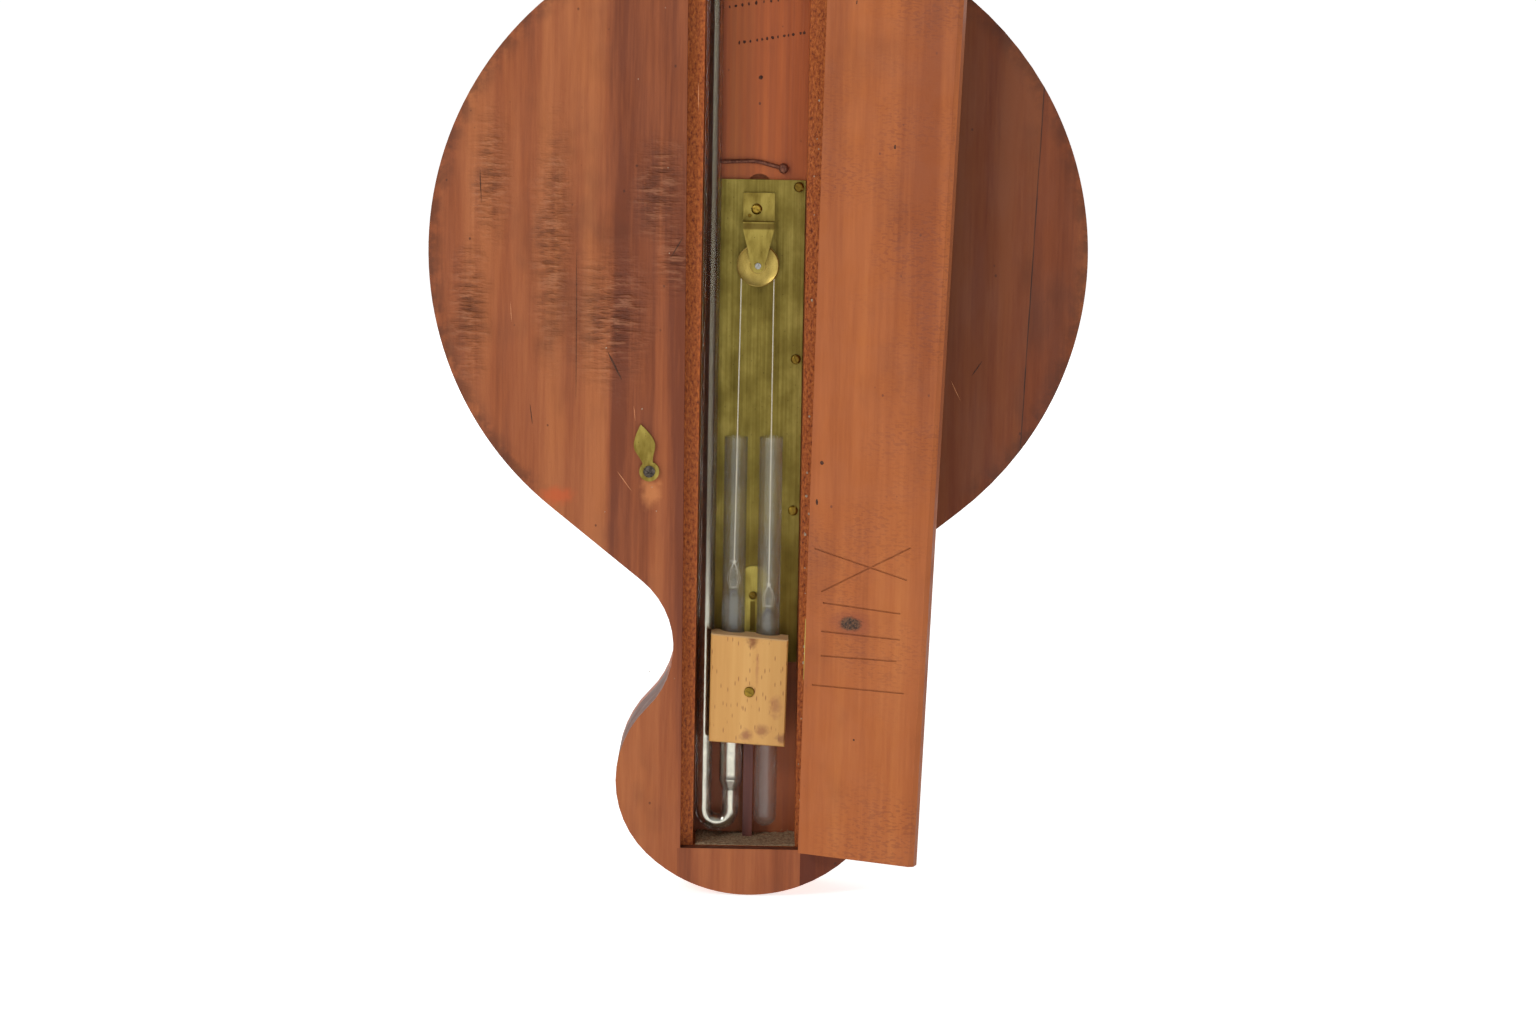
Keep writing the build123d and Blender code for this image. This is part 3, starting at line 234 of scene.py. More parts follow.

# Patches of fine ripples where the old stain has crept in, their troughs carrying painted shade and their
# crests a painted highlight: centre, half sizes, and how dark each is with stain.
CREPT = (
    (80.0, 4.0, 9.0, 52.0, 0.35),
    (57.0, -26.0, 18.0, 32.0, 0.45),
    (38.5, 24.0, 12.0, 24.0, 1.1),
    (33.0, -4.0, 9.0, 14.0, 0.4),
    (104.0, 28.0, 9.0, 30.0, 0.6),
    (112.0, -24.0, 9.0, 34.0, 0.5),
)


def grain(look, seed, dark, mid, light, contrast=1.0):
    """Long vertical grain: broad bands, narrow streaks and fibres. Returns its colour and its relief."""
    bands = look.noise(30, 3, 0.5, (1, 1, 0.05), seed, 0.8)
    streaks = look.noise(8, 3, 0.5, (1, 1, 0.04), seed + 3.1, 0.6)
    fibres = look.noise(1.4, 4, 0.6, (1, 1, 0.05), seed + 7.7)
    level = look.mix(look.mix(bands, streaks, 0.35), fibres, 0.16)
    spread = 0.105 / contrast
    tone = look.ramp(level, [(0.5 - spread, dark), (0.5, mid), (0.5 + spread, light)])
    return tone, look.mix(fibres, streaks, 0.35)


def handled(look, tone, seed, grime=WOOD_GRIME_AND_SHADE, amount=0.5):
    """Dirt in scattered specks and cloudy handling marks over a wood tone."""
    clouds = look.between(look.noise(38, 4, 0.6, (1, 1, 0.6), seed + 11), 0.52, 0.74, 0.0, amount)
    tone = look.mix(tone, grime, clouds)
    specks = look.between(look.cells(5.5, (1, 1, 0.8), seed + 5), 0.11, 0.06, 0.0, 0.7)
    thinned = look.math("MULTIPLY", specks, look.between(look.noise(14, seed=seed + 2), 0.54, 0.62))
    return look.mix(tone, grime, thinned)


def back_board(name, seed, contrast=1.0, tint=None, tint_share=0.5):
    """Oiled, grimy softwood of the case's back, with crept stain, painted shade and painted highlights in
    the crept ripples, painted shade on faces turned from the back, grime along the round edge and rough
    inner faces.
    """
    look = Look(name)
    tone, fibres = grain(look, seed, WOOD_DARK, WOOD_MID, WOOD_LIGHT, contrast)
    if tint is not None:
        tone = look.mix(tone, tint, tint_share)
    tone = handled(look, tone, seed, amount=0.35)
    ripple = look.noise(1.35, 2, 0.5, (0.2, 1, 1), seed + 1)
    crept = None
    for x, height, half_x, half_z, dark in CREPT:
        here = look.spot(x, height, half_x * 1.15, half_z * 1.15, 1.0, 0.8, 8, seed)
        tone = look.mix(tone, WOOD_GRIME_AND_SHADE, look.math("MULTIPLY", here, 0.3 * dark))
        crept = here if crept is None else look.math("MAXIMUM", crept, here)
    # Inside the patches, painted shade darkens the ripples' troughs and a painted highlight lightens their
    # crests.
    shadowed = look.math("MULTIPLY", crept, look.between(ripple, 0.54, 0.36))
    tone = look.mix(tone, WOOD_GRIME_AND_SHADE, look.math("MULTIPLY", shadowed, 0.42))
    raised = look.math("MULTIPLY", crept, look.between(ripple, 0.5, 0.66))
    tone = look.mix(tone, srgb(190, 132, 98), look.math("MULTIPLY", raised, 0.3))
    worn = look.spot(40.3, -94.0, 5.5, 8.0, 0.8, 0.9, 4, seed)
    tone = look.mix(tone, WOOD_RAW, look.math("MULTIPLY", worn, 0.6))
    rubbed = look.spot(77.0, -96.0, 9.0, 5.0, 0.8, 1.0, 4, seed + 2)
    tone = look.mix(tone, srgb(186, 82, 40), look.math("MULTIPLY", rubbed, 0.7))
    # The glued seam of the outer cheek has opened into a dark line.
    across = look.part(look.place, "X")
    height = look.part(look.place, "Z")
    seam = look.unheld("MULTIPLY_ADD", height, -SEAM_LEAN, (SEAM_X - SEAM_LEAN * -BODY_Z) * MM)
    off = look.unheld("SUBTRACT", across, seam)
    gap = look.between(look.math("ABSOLUTE", off), 0.00035, 0.0001, 0.0, 0.9)
    open_here = look.between(look.noise(16, 2, seed=seed + 8), 0.36, 0.56, 0.35, 1.0)
    tone = look.mix(tone, srgb(40, 24, 20), look.math("MULTIPLY", gap, open_here))
    # Faces that don't look straight back carry painted shade, and those inside the slot are rough and
    # redder.
    back = look.part(look.facing, "Y")
    side = look.between(look.math("ABSOLUTE", back), 0.8, 0.4)
    tone = look.mix(tone, srgb(78, 44, 32), look.math("MULTIPLY", side, 0.75))
    depth = look.part(look.place, "Y")
    inside = look.between(depth, -0.0052, -0.0058)
    within = look.between(look.math("ABSOLUTE", across), 0.034, 0.032)
    inside = look.math("MULTIPLY", inside, within)
    pits = look.noise(1.0, 5, 0.7, (1, 1, 0.6), seed + 9)
    raw_stops = [(0.34, srgb(92, 40, 18)), (0.46, srgb(156, 76, 32)), (0.62, srgb(190, 106, 48))]
    rough_tone = look.ramp(pits, raw_stops)
    tone = look.mix(tone, rough_tone, inside)
    # Dirt has gathered along the round edge.
    from_middle = look.vector("MULTIPLY", look.vector("SUBTRACT", look.place, at(0, 0, 0)), (1, 0, 1))
    edge = look.between(look.vector("LENGTH", from_middle, None), 0.1195, 0.1279)
    on_body = look.between(height, (BODY_Z - 96) * MM, (BODY_Z - 88) * MM)
    patchy = look.between(look.noise(7, 4, 0.65, seed=seed + 4), 0.34, 0.6)
    dirty_rim = look.math("MULTIPLY", look.math("MULTIPLY", edge, patchy), on_body)
    tone = look.mix(tone, WOOD_GRIME_AND_SHADE, look.math("MULTIPLY", dirty_rim, 0.55))
    relief = look.mix(fibres, ripple, look.math("MULTIPLY", crept, 0.9))
    relief = look.mix(relief, pits, inside)
    strength_near = look.bump(relief, 0.16, 0.5)
    strength_crept = look.bump(look.math("MULTIPLY", ripple, crept), 2.4, 1.0, strength_near)
    normal = look.bump(look.math("MULTIPLY", pits, inside), 0.9, 0.6, strength_crept)
    gloss = look.between(look.noise(9, 3, 0.6, (1, 1, 0.3), seed + 6), 0.3, 0.7, 0.48, 0.68)
    return look.done(tone, gloss, normal, Specular_IOR_Level=0.26)


def channel_wood():
    """Floor of the long channel: planed, stained red-orange, dustier and darker at its foot."""
    look = Look("channel_wood")
    tone, fibres = grain(look, 21.0, srgb(142, 66, 26), srgb(176, 90, 38), srgb(194, 110, 50), 0.7)
    planed = look.between(look.noise(2.2, 2, 0.5, (1, 1, 0.01), 4.0), 0.35, 0.65)
    tone = look.mix(tone, srgb(120, 54, 32), look.math("MULTIPLY", planed, 0.25))
    height = look.part(look.place, "Z")
    low = look.between(height, -0.86, -0.93)
    tone = look.mix(tone, srgb(104, 54, 36), look.math("MULTIPLY", low, 0.5))
    tone = handled(look, tone, 17.0, amount=0.25)
    normal = look.bump(look.mix(fibres, planed, 0.4), 0.2, 0.5)
    return look.done(tone, 0.5, normal, Specular_IOR_Level=0.35)


def door_wood(points):
    """Softer, more orange wood of the trapdoor, with saw lines across it, a knot and a pale worn edge."""
    look = Look("door_wood")
    tone, fibres = grain(look, 41.0, srgb(142, 72, 32), srgb(166, 91, 43), srgb(184, 110, 54), 0.7)
    sawn = look.noise(0.7, 1, 0.4, (0.012, 1, 1), 6.0)
    upper = look.between(look.noise(60, 2, seed=3.0), 0.42, 0.62)
    lines = look.math("MULTIPLY", look.between(sawn, 0.48, 0.38), upper)
    tone = look.mix(tone, srgb(122, 62, 38), look.math("MULTIPLY", lines, 0.42))
    tone = handled(look, tone, 23.0, srgb(96, 52, 38), 0.3)
    knot = points["knot"]
    offset = look.vector("SUBTRACT", look.place, knot)
    scaled = look.vector("MULTIPLY", offset, (1 / KNOT_WIDE, 1 / KNOT_WIDE, 1 / KNOT_HIGH))
    far = look.vector("LENGTH", scaled, None)
    ragged = look.unheld("ADD", far, look.math("MULTIPLY", look.noise(2.2, 4, 0.7), 0.8))
    heart = look.between(ragged, 1.45, 1.0)
    halo = look.between(ragged, 2.6, 1.2)
    tone = look.mix(tone, srgb(138, 70, 44), look.math("MULTIPLY", halo, 0.6))
    figure = look.noise(0.8, 3, 0.7, seed=8.0)
    tone = look.mix(tone, look.ramp(figure, [(0.4, srgb(44, 32, 26)), (0.6, srgb(110, 74, 50))]), heart)
    # The bevelled free edge is rubbed pale and the sawn sides are darker.
    back = look.part(look.facing, "Y")
    away = look.between(back, 0.9, 0.75)
    tone = look.mix(tone, srgb(206, 134, 92), look.math("MULTIPLY", look.between(back, 0.55, 0.7), away))
    side = look.between(look.math("ABSOLUTE", back), 0.5, 0.2)
    tone = look.mix(tone, srgb(110, 58, 38), look.math("MULTIPLY", side, 0.7))
    normal = look.bump(fibres, 0.14, 0.45)
    normal = look.bump(lines, 0.2, 0.35, normal)
    normal = look.bump(look.math("MULTIPLY", figure, heart), 0.8, 0.6, normal)
    gloss = look.between(look.noise(12, 3, seed=2.0), 0.3, 0.7, 0.5, 0.68)
    return look.done(tone, gloss, normal, Specular_IOR_Level=0.3)


def beech_wood():
    """Pale beech with short dark ray flecks, brown bruises and a sawn lower corner."""
    look = Look("beech")
    tone, fibres = grain(look, 55.0, srgb(190, 134, 70), srgb(206, 154, 86), srgb(218, 170, 102), 0.6)
    flecks = look.cells(1.25, (1, 1, 0.22), 2.0)
    fleck = look.between(flecks, 0.24, 0.1)
    tone = look.mix(tone, srgb(150, 92, 52), look.math("MULTIPLY", fleck, 0.75))
    for x, height, half_x, half_z, colour, share in (
        (-0.5, -153.5, 4.2, 4.0, srgb(122, 66, 32), 0.85),
        (1.5, -192.0, 3.4, 3.2, srgb(146, 88, 62), 0.75),
        (-5.0, -190.0, 3.6, 3.4, srgb(150, 94, 60), 0.7),
        (-10.0, -180.0, 3.0, 6.5, srgb(158, 98, 66), 0.6),
        (-13.0, -193.0, 3.5, 3.0, srgb(132, 78, 56), 0.7),
        (-2.5, -165.0, 1.0, 9.0, srgb(176, 118, 74), 0.6),
    ):
        stain = look.spot(x, height, half_x, half_z, 0.9, 1.3, 2.5, x)
        tone = look.mix(tone, colour, look.math("MULTIPLY", stain, share))
    height = look.part(look.facing, "Z")
    sawn_top = look.between(height, 0.5, 0.8)
    tone = look.mix(tone, srgb(222, 184, 132), sawn_top)
    normal = look.bump(look.mix(fibres, fleck, 0.5), 0.15, 0.5)
    return look.done(tone, 0.55, normal, Specular_IOR_Level=0.35)


def plain_wood(name, seed, dark, mid, light, roughness):
    look = Look(name)
    tone, fibres = grain(look, seed, dark, mid, light)
    tone = handled(look, tone, seed, amount=0.3)
    return look.done(tone, roughness, look.bump(fibres, 0.15, 0.5), Specular_IOR_Level=0.35)


def polished_veneer(name, seed):
    """Figured mahogany under French polish: flame across the grain, pores, and a worn shine."""
    look = Look(name)
    flame = look.waves(46, "DIAGONAL", 9.0, 3.0, (1, 1, 0.35), seed)
    pores = look.noise(0.6, 2, 0.6, (1, 1, 0.04), seed + 4)
    clouds = look.noise(34, 4, 0.6, (1, 1, 0.4), seed + 8)
    level = look.mix(look.mix(flame, clouds, 0.55), pores, 0.2)
    tone = look.ramp(level, [(0.28, srgb(70, 26, 14)), (0.5, srgb(118, 50, 24)), (0.74, srgb(164, 84, 40))])
    dark_pores = look.between(pores, 0.42, 0.34, 0.0, 0.5)
    tone = look.mix(tone, srgb(44, 18, 10), dark_pores)
    worn = look.between(look.noise(22, 4, 0.65, seed=seed + 2), 0.35, 0.75, 0.16, 0.34)
    normal = look.bump(pores, 0.05, 0.3)
    return look.done(tone, worn, normal, Coat_Weight=0.5, Coat_Roughness=0.12)


# ---- Metals ----
def aged_brass(name, seed, bright, dull, roughness, brushed=None, spots=0.4):
    """Brass with a brushed lay, brown spots and cloudy tarnish."""
    look = Look(name)
    clouds = look.noise(9, 4, 0.6, (1, 1, 0.5), seed)
    tone = look.ramp(clouds, [(0.32, dull), (0.62, bright)])
    freckles = look.between(look.cells(2.4, seed=seed + 1), 0.15, 0.05, 0.0, spots)
    thinned = look.math("MULTIPLY", freckles, look.between(look.noise(8, seed=seed + 2), 0.48, 0.6))
    tone = look.mix(tone, srgb(84, 62, 34), thinned)
    fine = look.noise(0.35, 3, 0.6, brushed or (1, 1, 1), seed + 5)
    tone = look.mix(tone, dull, look.between(fine, 0.55, 0.35, 0.0, 0.4))
    worn = look.between(look.mix(clouds, fine, 0.4), 0.3, 0.7, roughness + 0.16, roughness - 0.08)
    normal = look.bump(fine, 0.03, 0.5)
    return look.done(tone, worn, normal, Metallic=1.0)


def cock_brass():
    """The cock and the catches: dulled brass with a brown band where the cock is bent."""
    look = Look("cock_brass")
    clouds = look.noise(5, 4, 0.6, (1, 1, 0.4), 8.0)
    tone = look.ramp(clouds, [(0.32, srgb(120, 102, 44)), (0.62, srgb(160, 142, 72))])
    freckles = look.between(look.cells(1.8, seed=3.0), 0.16, 0.05, 0.0, 0.6)
    tone = look.mix(tone, srgb(78, 60, 30), freckles)
    height = look.part(look.place, "Z")
    above = look.between(height, (BODY_Z + 8.0) * MM, (BODY_Z + 8.8) * MM)
    below = look.between(height, (BODY_Z + 11.4) * MM, (BODY_Z + 10.4) * MM)
    band = look.math("MULTIPLY", above, below)
    tone = look.mix(tone, srgb(84, 66, 30), look.math("MULTIPLY", band, 0.75))
    fine = look.noise(0.35, 3, 0.6, (1, 1, 0.1), 13.0)
    worn = look.between(look.mix(clouds, fine, 0.4), 0.3, 0.7, 0.58, 0.4)
    return look.done(tone, worn, look.bump(fine, 0.03, 0.5), Metallic=1.0)


def plate_brass():
    """The movement's plate: brushed up and down, olive with age, darker towards its foot."""
    look = Look("plate_brass")
    brushed = look.noise(0.9, 4, 0.65, (1, 1, 0.012), 3.0)
    broad = look.noise(5.0, 3, 0.55, (1, 1, 0.02), 9.0)
    clouds = look.noise(12, 4, 0.62, (1, 1, 0.7), 1.5)
    level = look.mix(look.mix(brushed, broad, 0.5), clouds, 0.45)
    olive = [(0.36, srgb(92, 78, 30)), (0.5, srgb(122, 107, 48)), (0.64, srgb(152, 136, 70))]
    tone = look.ramp(level, olive)
    height = look.part(look.place, "Z")
    low = look.between(height, -0.78, -0.86)
    tone = look.mix(tone, srgb(82, 60, 12), look.math("MULTIPLY", low, 0.7))
    freckles = look.between(look.cells(3.0, seed=4.0), 0.12, 0.04, 0.0, 0.6)
    tone = look.mix(tone, srgb(70, 56, 28), freckles)
    worn = look.between(level, 0.3, 0.7, 0.56, 0.36)
    normal = look.bump(brushed, 0.05, 0.6)
    return look.done(tone, worn, normal, Metallic=0.9)


def dark_metal(name, seed, low, high, roughness, metal=1.0, lumps=1.2):
    look = Look(name)
    clouds = look.noise(lumps, 4, 0.65, seed=seed)
    tone = look.ramp(clouds, [(0.35, low), (0.65, high)])
    worn = look.between(clouds, 0.3, 0.7, roughness + 0.12, roughness - 0.08)
    return look.done(tone, worn, look.bump(clouds, 0.12, 0.4), Metallic=metal)


def silvered_brass():
    """Silvered plate: a fine matt grain with yellowing clouds and a few dark specks."""
    look = Look("silvered")
    clouds = look.noise(24, 5, 0.6, seed=6.0)
    tone = look.ramp(clouds, [(0.35, srgb(196, 188, 164)), (0.65, srgb(222, 220, 208))])
    specks = look.between(look.cells(4.0, seed=2.0), 0.08, 0.03, 0.0, 0.6)
    tone = look.mix(tone, srgb(120, 108, 84), specks)
    matt = look.noise(0.25, 2, 0.6, seed=1.0)
    worn = look.between(clouds, 0.3, 0.7, 0.5, 0.36)
    return look.done(tone, worn, look.bump(matt, 0.02, 0.4), Metallic=0.7)


# ---- Glass, mercury, silk, ink, dust ----
def old_glass(name, seed, dust):
    """Clear drawn glass with a film of dust in streaks. dust is how much of it the film hides."""
    look = Look(name)
    streaks = look.noise(3.0, 4, 0.6, (1, 1, 0.1), seed)
    film = look.between(streaks, 0.3, 0.75, 1.0 - dust * 0.35, 1.0 - dust)
    rough = look.between(streaks, 0.35, 0.75, 0.0, 0.05)
    look.done(srgb(246, 248, 244), rough, look.bump(streaks, 0.02, 0.2), Transmission_Weight=film)
    look.shader.inputs["IOR"].default_value = 1.47
    # Lamps and soft light pass straight through, so that what stands behind the glass is lit.
    rays = look.tree.nodes.new("ShaderNodeLightPath")
    clear = look.tree.nodes.new("ShaderNodeBsdfTransparent")
    blend = look.tree.nodes.new("ShaderNodeMixShader")
    passing = look.math("MAXIMUM", rays.outputs["Is Shadow Ray"], rays.outputs["Is Diffuse Ray"])
    look.put(blend.inputs[0], look.math("MAXIMUM", passing, 0.42))
    look.put(blend.inputs[1], look.shader.outputs[0])
    look.put(blend.inputs[2], clear.outputs[0])
    look.put(look.tree.nodes["Material Output"].inputs["Surface"], blend.outputs[0])
    return look.material


def mercury():
    look = Look("mercury")
    scum = look.noise(2.5, 4, 0.65, (1, 1, 0.5), 3.0)
    tone = look.ramp(scum, [(0.4, srgb(200, 196, 184)), (0.7, srgb(226, 222, 208))])
    # Up the long limb the mercury is painted dark: a painted reflection of the dark room behind the camera
    # that it mirrors.
    painted_dark_reflection = look.between(look.part(look.place, "Z"), -0.88, -0.80)
    tone = look.mix(tone, srgb(92, 80, 58), painted_dark_reflection)
    rough = look.between(scum, 0.5, 0.75, 0.06, 0.26)
    return look.done(tone, rough, look.bump(scum, 0.1, 0.25), Metallic=1.0)


def silk():
    look = Look("silk")
    fuzz = look.noise(0.3, 3, 0.6, seed=2.0)
    tone = look.ramp(fuzz, [(0.3, srgb(206, 198, 170)), (0.7, srgb(240, 236, 218))])
    return look.done(tone, 0.7, look.bump(fuzz, 0.05, 0.6), Sheen_Weight=0.3)


def spirit():
    look = Look("spirit")
    clouds = look.noise(3.0, 3, seed=5.0)
    tone = look.ramp(clouds, [(0.35, srgb(120, 18, 14)), (0.65, srgb(166, 30, 22))])
    return look.done(tone, look.between(clouds, 0.3, 0.7, 0.2, 0.3))


def speckled(name, low, high, lumps, roughness, relief):
    """A matt, two-toned surface: ink, dust, glue or bruised wood."""
    look = Look(name)
    clouds = look.noise(lumps, 4, 0.7, seed=len(name))
    tone = look.ramp(clouds, [(0.38, low), (0.62, high)])
    return look.done(tone, roughness, look.bump(clouds, relief, 0.7), Specular_IOR_Level=0.25)


# ---- Mesh helpers ----
def piece(name, bm, material, body, smooth=True):
    """Makes a mesh piece that rides on a body and takes a material slot."""
    bmesh.ops.recalc_face_normals(bm, faces=bm.faces)
    mesh = bpy.data.meshes.new(name)
    bm.to_mesh(mesh)
    bm.free()
    mesh.materials.append(material)
    for face in mesh.polygons:
        face.use_smooth = smooth
    made = bpy.data.objects.new(name, mesh)
    bpy.context.scene.collection.objects.link(made)
    if body is not None:
        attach(made, body)
    return made


def sweep(bm, path, radius, sides=8, closed=False):
    """A round tube along a list of points. radius is a number or one number for each point."""
    count = len(path)
    radii = [radius] * count if isinstance(radius, (int, float)) else radius
    rings = []
    across = None
    for i, point in enumerate(path):
        before = path[i - 1] if closed or i else path[i]
        after = path[(i + 1) % count] if closed or i < count - 1 else path[i]
        along = (after - before).normalized()
        across = along.orthogonal() if across is None else across - along * across.dot(along)
        across.normalize()
        up = along.cross(across)
        turns = (2 * math.pi * k / sides for k in range(sides))
        rings.append(
            [bm.verts.new(point + (across * math.cos(t) + up * math.sin(t)) * radii[i]) for t in turns]
        )
    spans = range(count if closed else count - 1)
    shift = 0
    for i in spans:
        low, high = rings[i], rings[(i + 1) % count]
        if closed and i == count - 1:
            shift = min(range(sides), key=lambda s: (high[s].co - low[0].co).length)
        for k in range(sides):
            quad = (low[k], low[(k + 1) % sides], high[(k + 1 + shift) % sides], high[(k + shift) % sides])
            bm.faces.new(quad)
    if not closed:
        bm.faces.new(rings[0])
        bm.faces.new(rings[-1])


def turned(bm, axis_point, profile, sides=48):
    """A closed solid turned about a vertical axis, from (radius, height) pairs that end on the axis."""
    rows = []
    for radius, height in profile:
        if radius < 1e-9:
            rows.append([bm.verts.new(axis_point + Vector((0, 0, height)))])
            continue
        turns = (2 * math.pi * k / sides for k in range(sides))
        ring = (Vector((radius * math.cos(t), radius * math.sin(t), height)) for t in turns)
        rows.append([bm.verts.new(axis_point + offset) for offset in ring])
    for low, high in zip(rows, rows[1:]):
        for k in range(sides):
            foot = (low[k % len(low)], low[(k + 1) % len(low)])
            head = (high[(k + 1) % len(high)], high[k % len(high)])
            # A row on the axis is a single point, so its two corners are one.
            bm.faces.new(list(dict.fromkeys(foot + head)))


def slab(bm, outline, lift):
    """A thin plate standing on an outline, its upper face pulled in a little."""
    middle = sum(outline, Vector()) / len(outline)
    foot = [bm.verts.new(p) for p in outline]
    top = [bm.verts.new(p + (middle - p) * 0.12 + lift) for p in outline]
    bm.faces.new(foot)
    bm.faces.new(top)
    for k in range(len(foot)):
        bm.faces.new((foot[k - 1], foot[k], top[k], top[k - 1]))


def spindle(bm, start, end, width, lift, draw, steps=7):
    """A scar that tapers to both ends, with uneven sides, on the face that lift points out of."""
    along = end - start
    side = lift.cross(along).normalized()
    upper = []
    lower = []
    for i in range(steps + 1):
        share = i / steps
        half = width / 2 * math.sin(math.pi * share) ** 0.7 * draw.uniform(0.7, 1.1)
        half = max(half, width * 0.06)
        point = start + along * share + side * draw.uniform(-0.12, 0.12) * width
        upper.append(point + side * half)
        lower.append(point - side * half)
    slab(bm, upper + lower[::-1], lift)


def speck(bm, middle, half_x, half_z, lift, draw, corners=8):
    """A small uneven blob on the back face."""
    turns = [2 * math.pi * k / corners for k in range(corners)]
    reaches = (Vector((half_x * math.cos(t), 0, half_z * math.sin(t))) for t in turns)
    outline = [middle + reach * draw.uniform(0.7, 1.15) for reach in reaches]
    slab(bm, outline, lift)


# ---- The door's own coordinates: across from the hinge line, up along it, out of its inner face ----
HINGE_POINT = at(-21.6, -1.2, -236.0)
HINGE_UP = Vector((-HINGE_LEAN, 0, 1)).normalized()
HINGE_ACROSS = Vector((1, 0, HINGE_LEAN)).normalized()
DOOR_TURN = math.radians(160)
DOOR_ACROSS = HINGE_ACROSS * math.cos(DOOR_TURN) + Vector((0, 1, 0)) * math.sin(DOOR_TURN)
DOOR_OUT = DOOR_ACROSS.cross(HINGE_UP)
DOOR_FACE = 1.2 + 5.5


def on_door(across, along):
    """A point of the open door's inner face."""
    return HINGE_POINT + (DOOR_ACROSS * across + HINGE_UP * along + DOOR_OUT * DOOR_FACE) * MM


# ---- Materials, by the record's slots ----
brass = aged_brass("brass", 12.0, srgb(196, 178, 96), srgb(142, 124, 58), 0.34)
looks = {
    "front_board": channel_wood(),
    "catch_side_board": back_board("back_board_catch", 2.0),
    "catch_side_cheek": back_board("back_cheek_catch", 2.0, 0.9),
    "hinge_side_board": back_board("back_board_hinge", 31.0, 1.3, srgb(78, 26, 6), 0.62),
    "hinge_side_cheek": back_board("back_cheek_hinge", 36.0, 1.1, srgb(104, 48, 20), 0.5),
    "bottom_plug": back_board("back_plug", 44.0, 0.9),
    "head_block": back_board("back_head", 47.0, 1.0),
    "trapdoor": door_wood({"knot": on_door(18.9, 93.8)}),
    "front_veneer": polished_veneer("front_veneer", 3.0),
    "cornice_moulding": polished_veneer("moulding_wood", 13.0),
    "clamp_block": beech_wood(),
    "divider_post": plain_wood(
        "dark_wood", 5.0, srgb(52, 24, 20), srgb(78, 38, 32), srgb(104, 56, 46), 0.45
    ),
    "movement_plate": plate_brass(),
    "tongue_plate": aged_brass(
        "tongue_brass", 4.0, srgb(176, 160, 84), srgb(126, 108, 46), 0.4, (1, 1, 0.05)
    ),
    "pulley_cock": cock_brass(),
    "pulley": aged_brass("pulley_brass", 3.0, srgb(184, 160, 88), srgb(144, 122, 58), 0.42, None, 0.25),
    "bezel_ring": aged_brass("bezel_brass", 6.0, srgb(212, 184, 104), srgb(168, 140, 72), 0.26),
    "dial_plate": silvered_brass(),
    "pointer": dark_metal("blued_steel", 3.0, srgb(22, 28, 52), srgb(44, 54, 92), 0.28),
    "pulley_arbor": dark_metal("steel", 6.0, srgb(120, 118, 112), srgb(176, 174, 168), 0.3),
    "catch_screws": dark_metal("dark_steel", 9.0, srgb(44, 38, 34), srgb(96, 88, 80), 0.42),
    "tie_wire": dark_metal("iron", 2.0, srgb(84, 44, 34), srgb(138, 88, 66), 0.5, 0.6, 0.8),
    "siphon_tube": old_glass("tube_glass", 1.0, 0.03),
    "counterweight_tube": old_glass("wide_tube_glass", 4.0, 0.05),
    "glass_float": old_glass("bob_glass", 7.0, 0.06),
    "dial_glass": old_glass("front_glass", 9.0, 0.05),
    "mercury_column": mercury(),
    "thermometer_spirit": spirit(),
}
SAME = {
    "front_veneer": ("pediment_scroll_left", "pediment_scroll_right"),
    "cornice_moulding": ("thermometer_case",),
    "pulley_cock": ("lower_catch", "upper_catch"),
    "bezel_ring": ("hygrometer_bezel", "bezel_hinge_leaf", "set_hand", "set_knob", "finial"),
    "dial_plate": ("thermometer_scale", "hygrometer_dial", "spirit_level_plate"),
    "pointer": ("hygrometer_hand",),
    "pulley_arbor": ("hinge_pins",),
    "glass_float": ("glass_counterweight", "thermometer_tube", "spirit_level_vial"),
    "dial_glass": ("thermometer_glass", "hygrometer_glass"),
}
for first, others in SAME.items():
    for name in others:
        looks[name] = looks[first]
screw_brass = aged_brass("screw_brass", 15.0, srgb(164, 136, 56), srgb(96, 72, 26), 0.4, None, 0.8)
for name in ("round_head_screws", "cock_fasteners", "block_screws", "front_screws"):
    looks[name] = screw_brass
HINGE_LEAVES = ("door_hinge_case_leaves", "door_hinge_door_leaves")
for name in ("arbor_bush", "hanging_plate", "tube_clips", *HINGE_LEAVES):
    looks[name] = brass
REPLACED = ("float_thread", "counterweight_thread", "limb_mercury")
for name, node in nodes.items():
    if name in REPLACED:
        continue
    node.data.materials.clear()
    node.data.materials.append(looks[name])
ink = speckled("ink", srgb(16, 14, 14), srgb(44, 40, 38), 1.0, 0.6, 0.02)
bruise = speckled("bruise", srgb(46, 28, 22), srgb(88, 56, 40), 1.5, 0.8, 0.1)
pale_scratch = speckled("pale_scratch", srgb(186, 118, 78), srgb(214, 150, 104), 1.5, 0.7, 0.1)
glue = speckled("glue", srgb(146, 118, 94), srgb(190, 170, 146), 0.8, 0.6, 0.2)
dust = speckled("dust", srgb(122, 96, 72), srgb(176, 152, 120), 1.1, 0.95, 0.6)
thread_silk = silk()

# ---- Threads: two twisted strands, a knot, and a loop round the bob's neck ----
STRAND_R = 0.14
TWIST_PITCH = 1.1
STRAND_OFF = 0.12


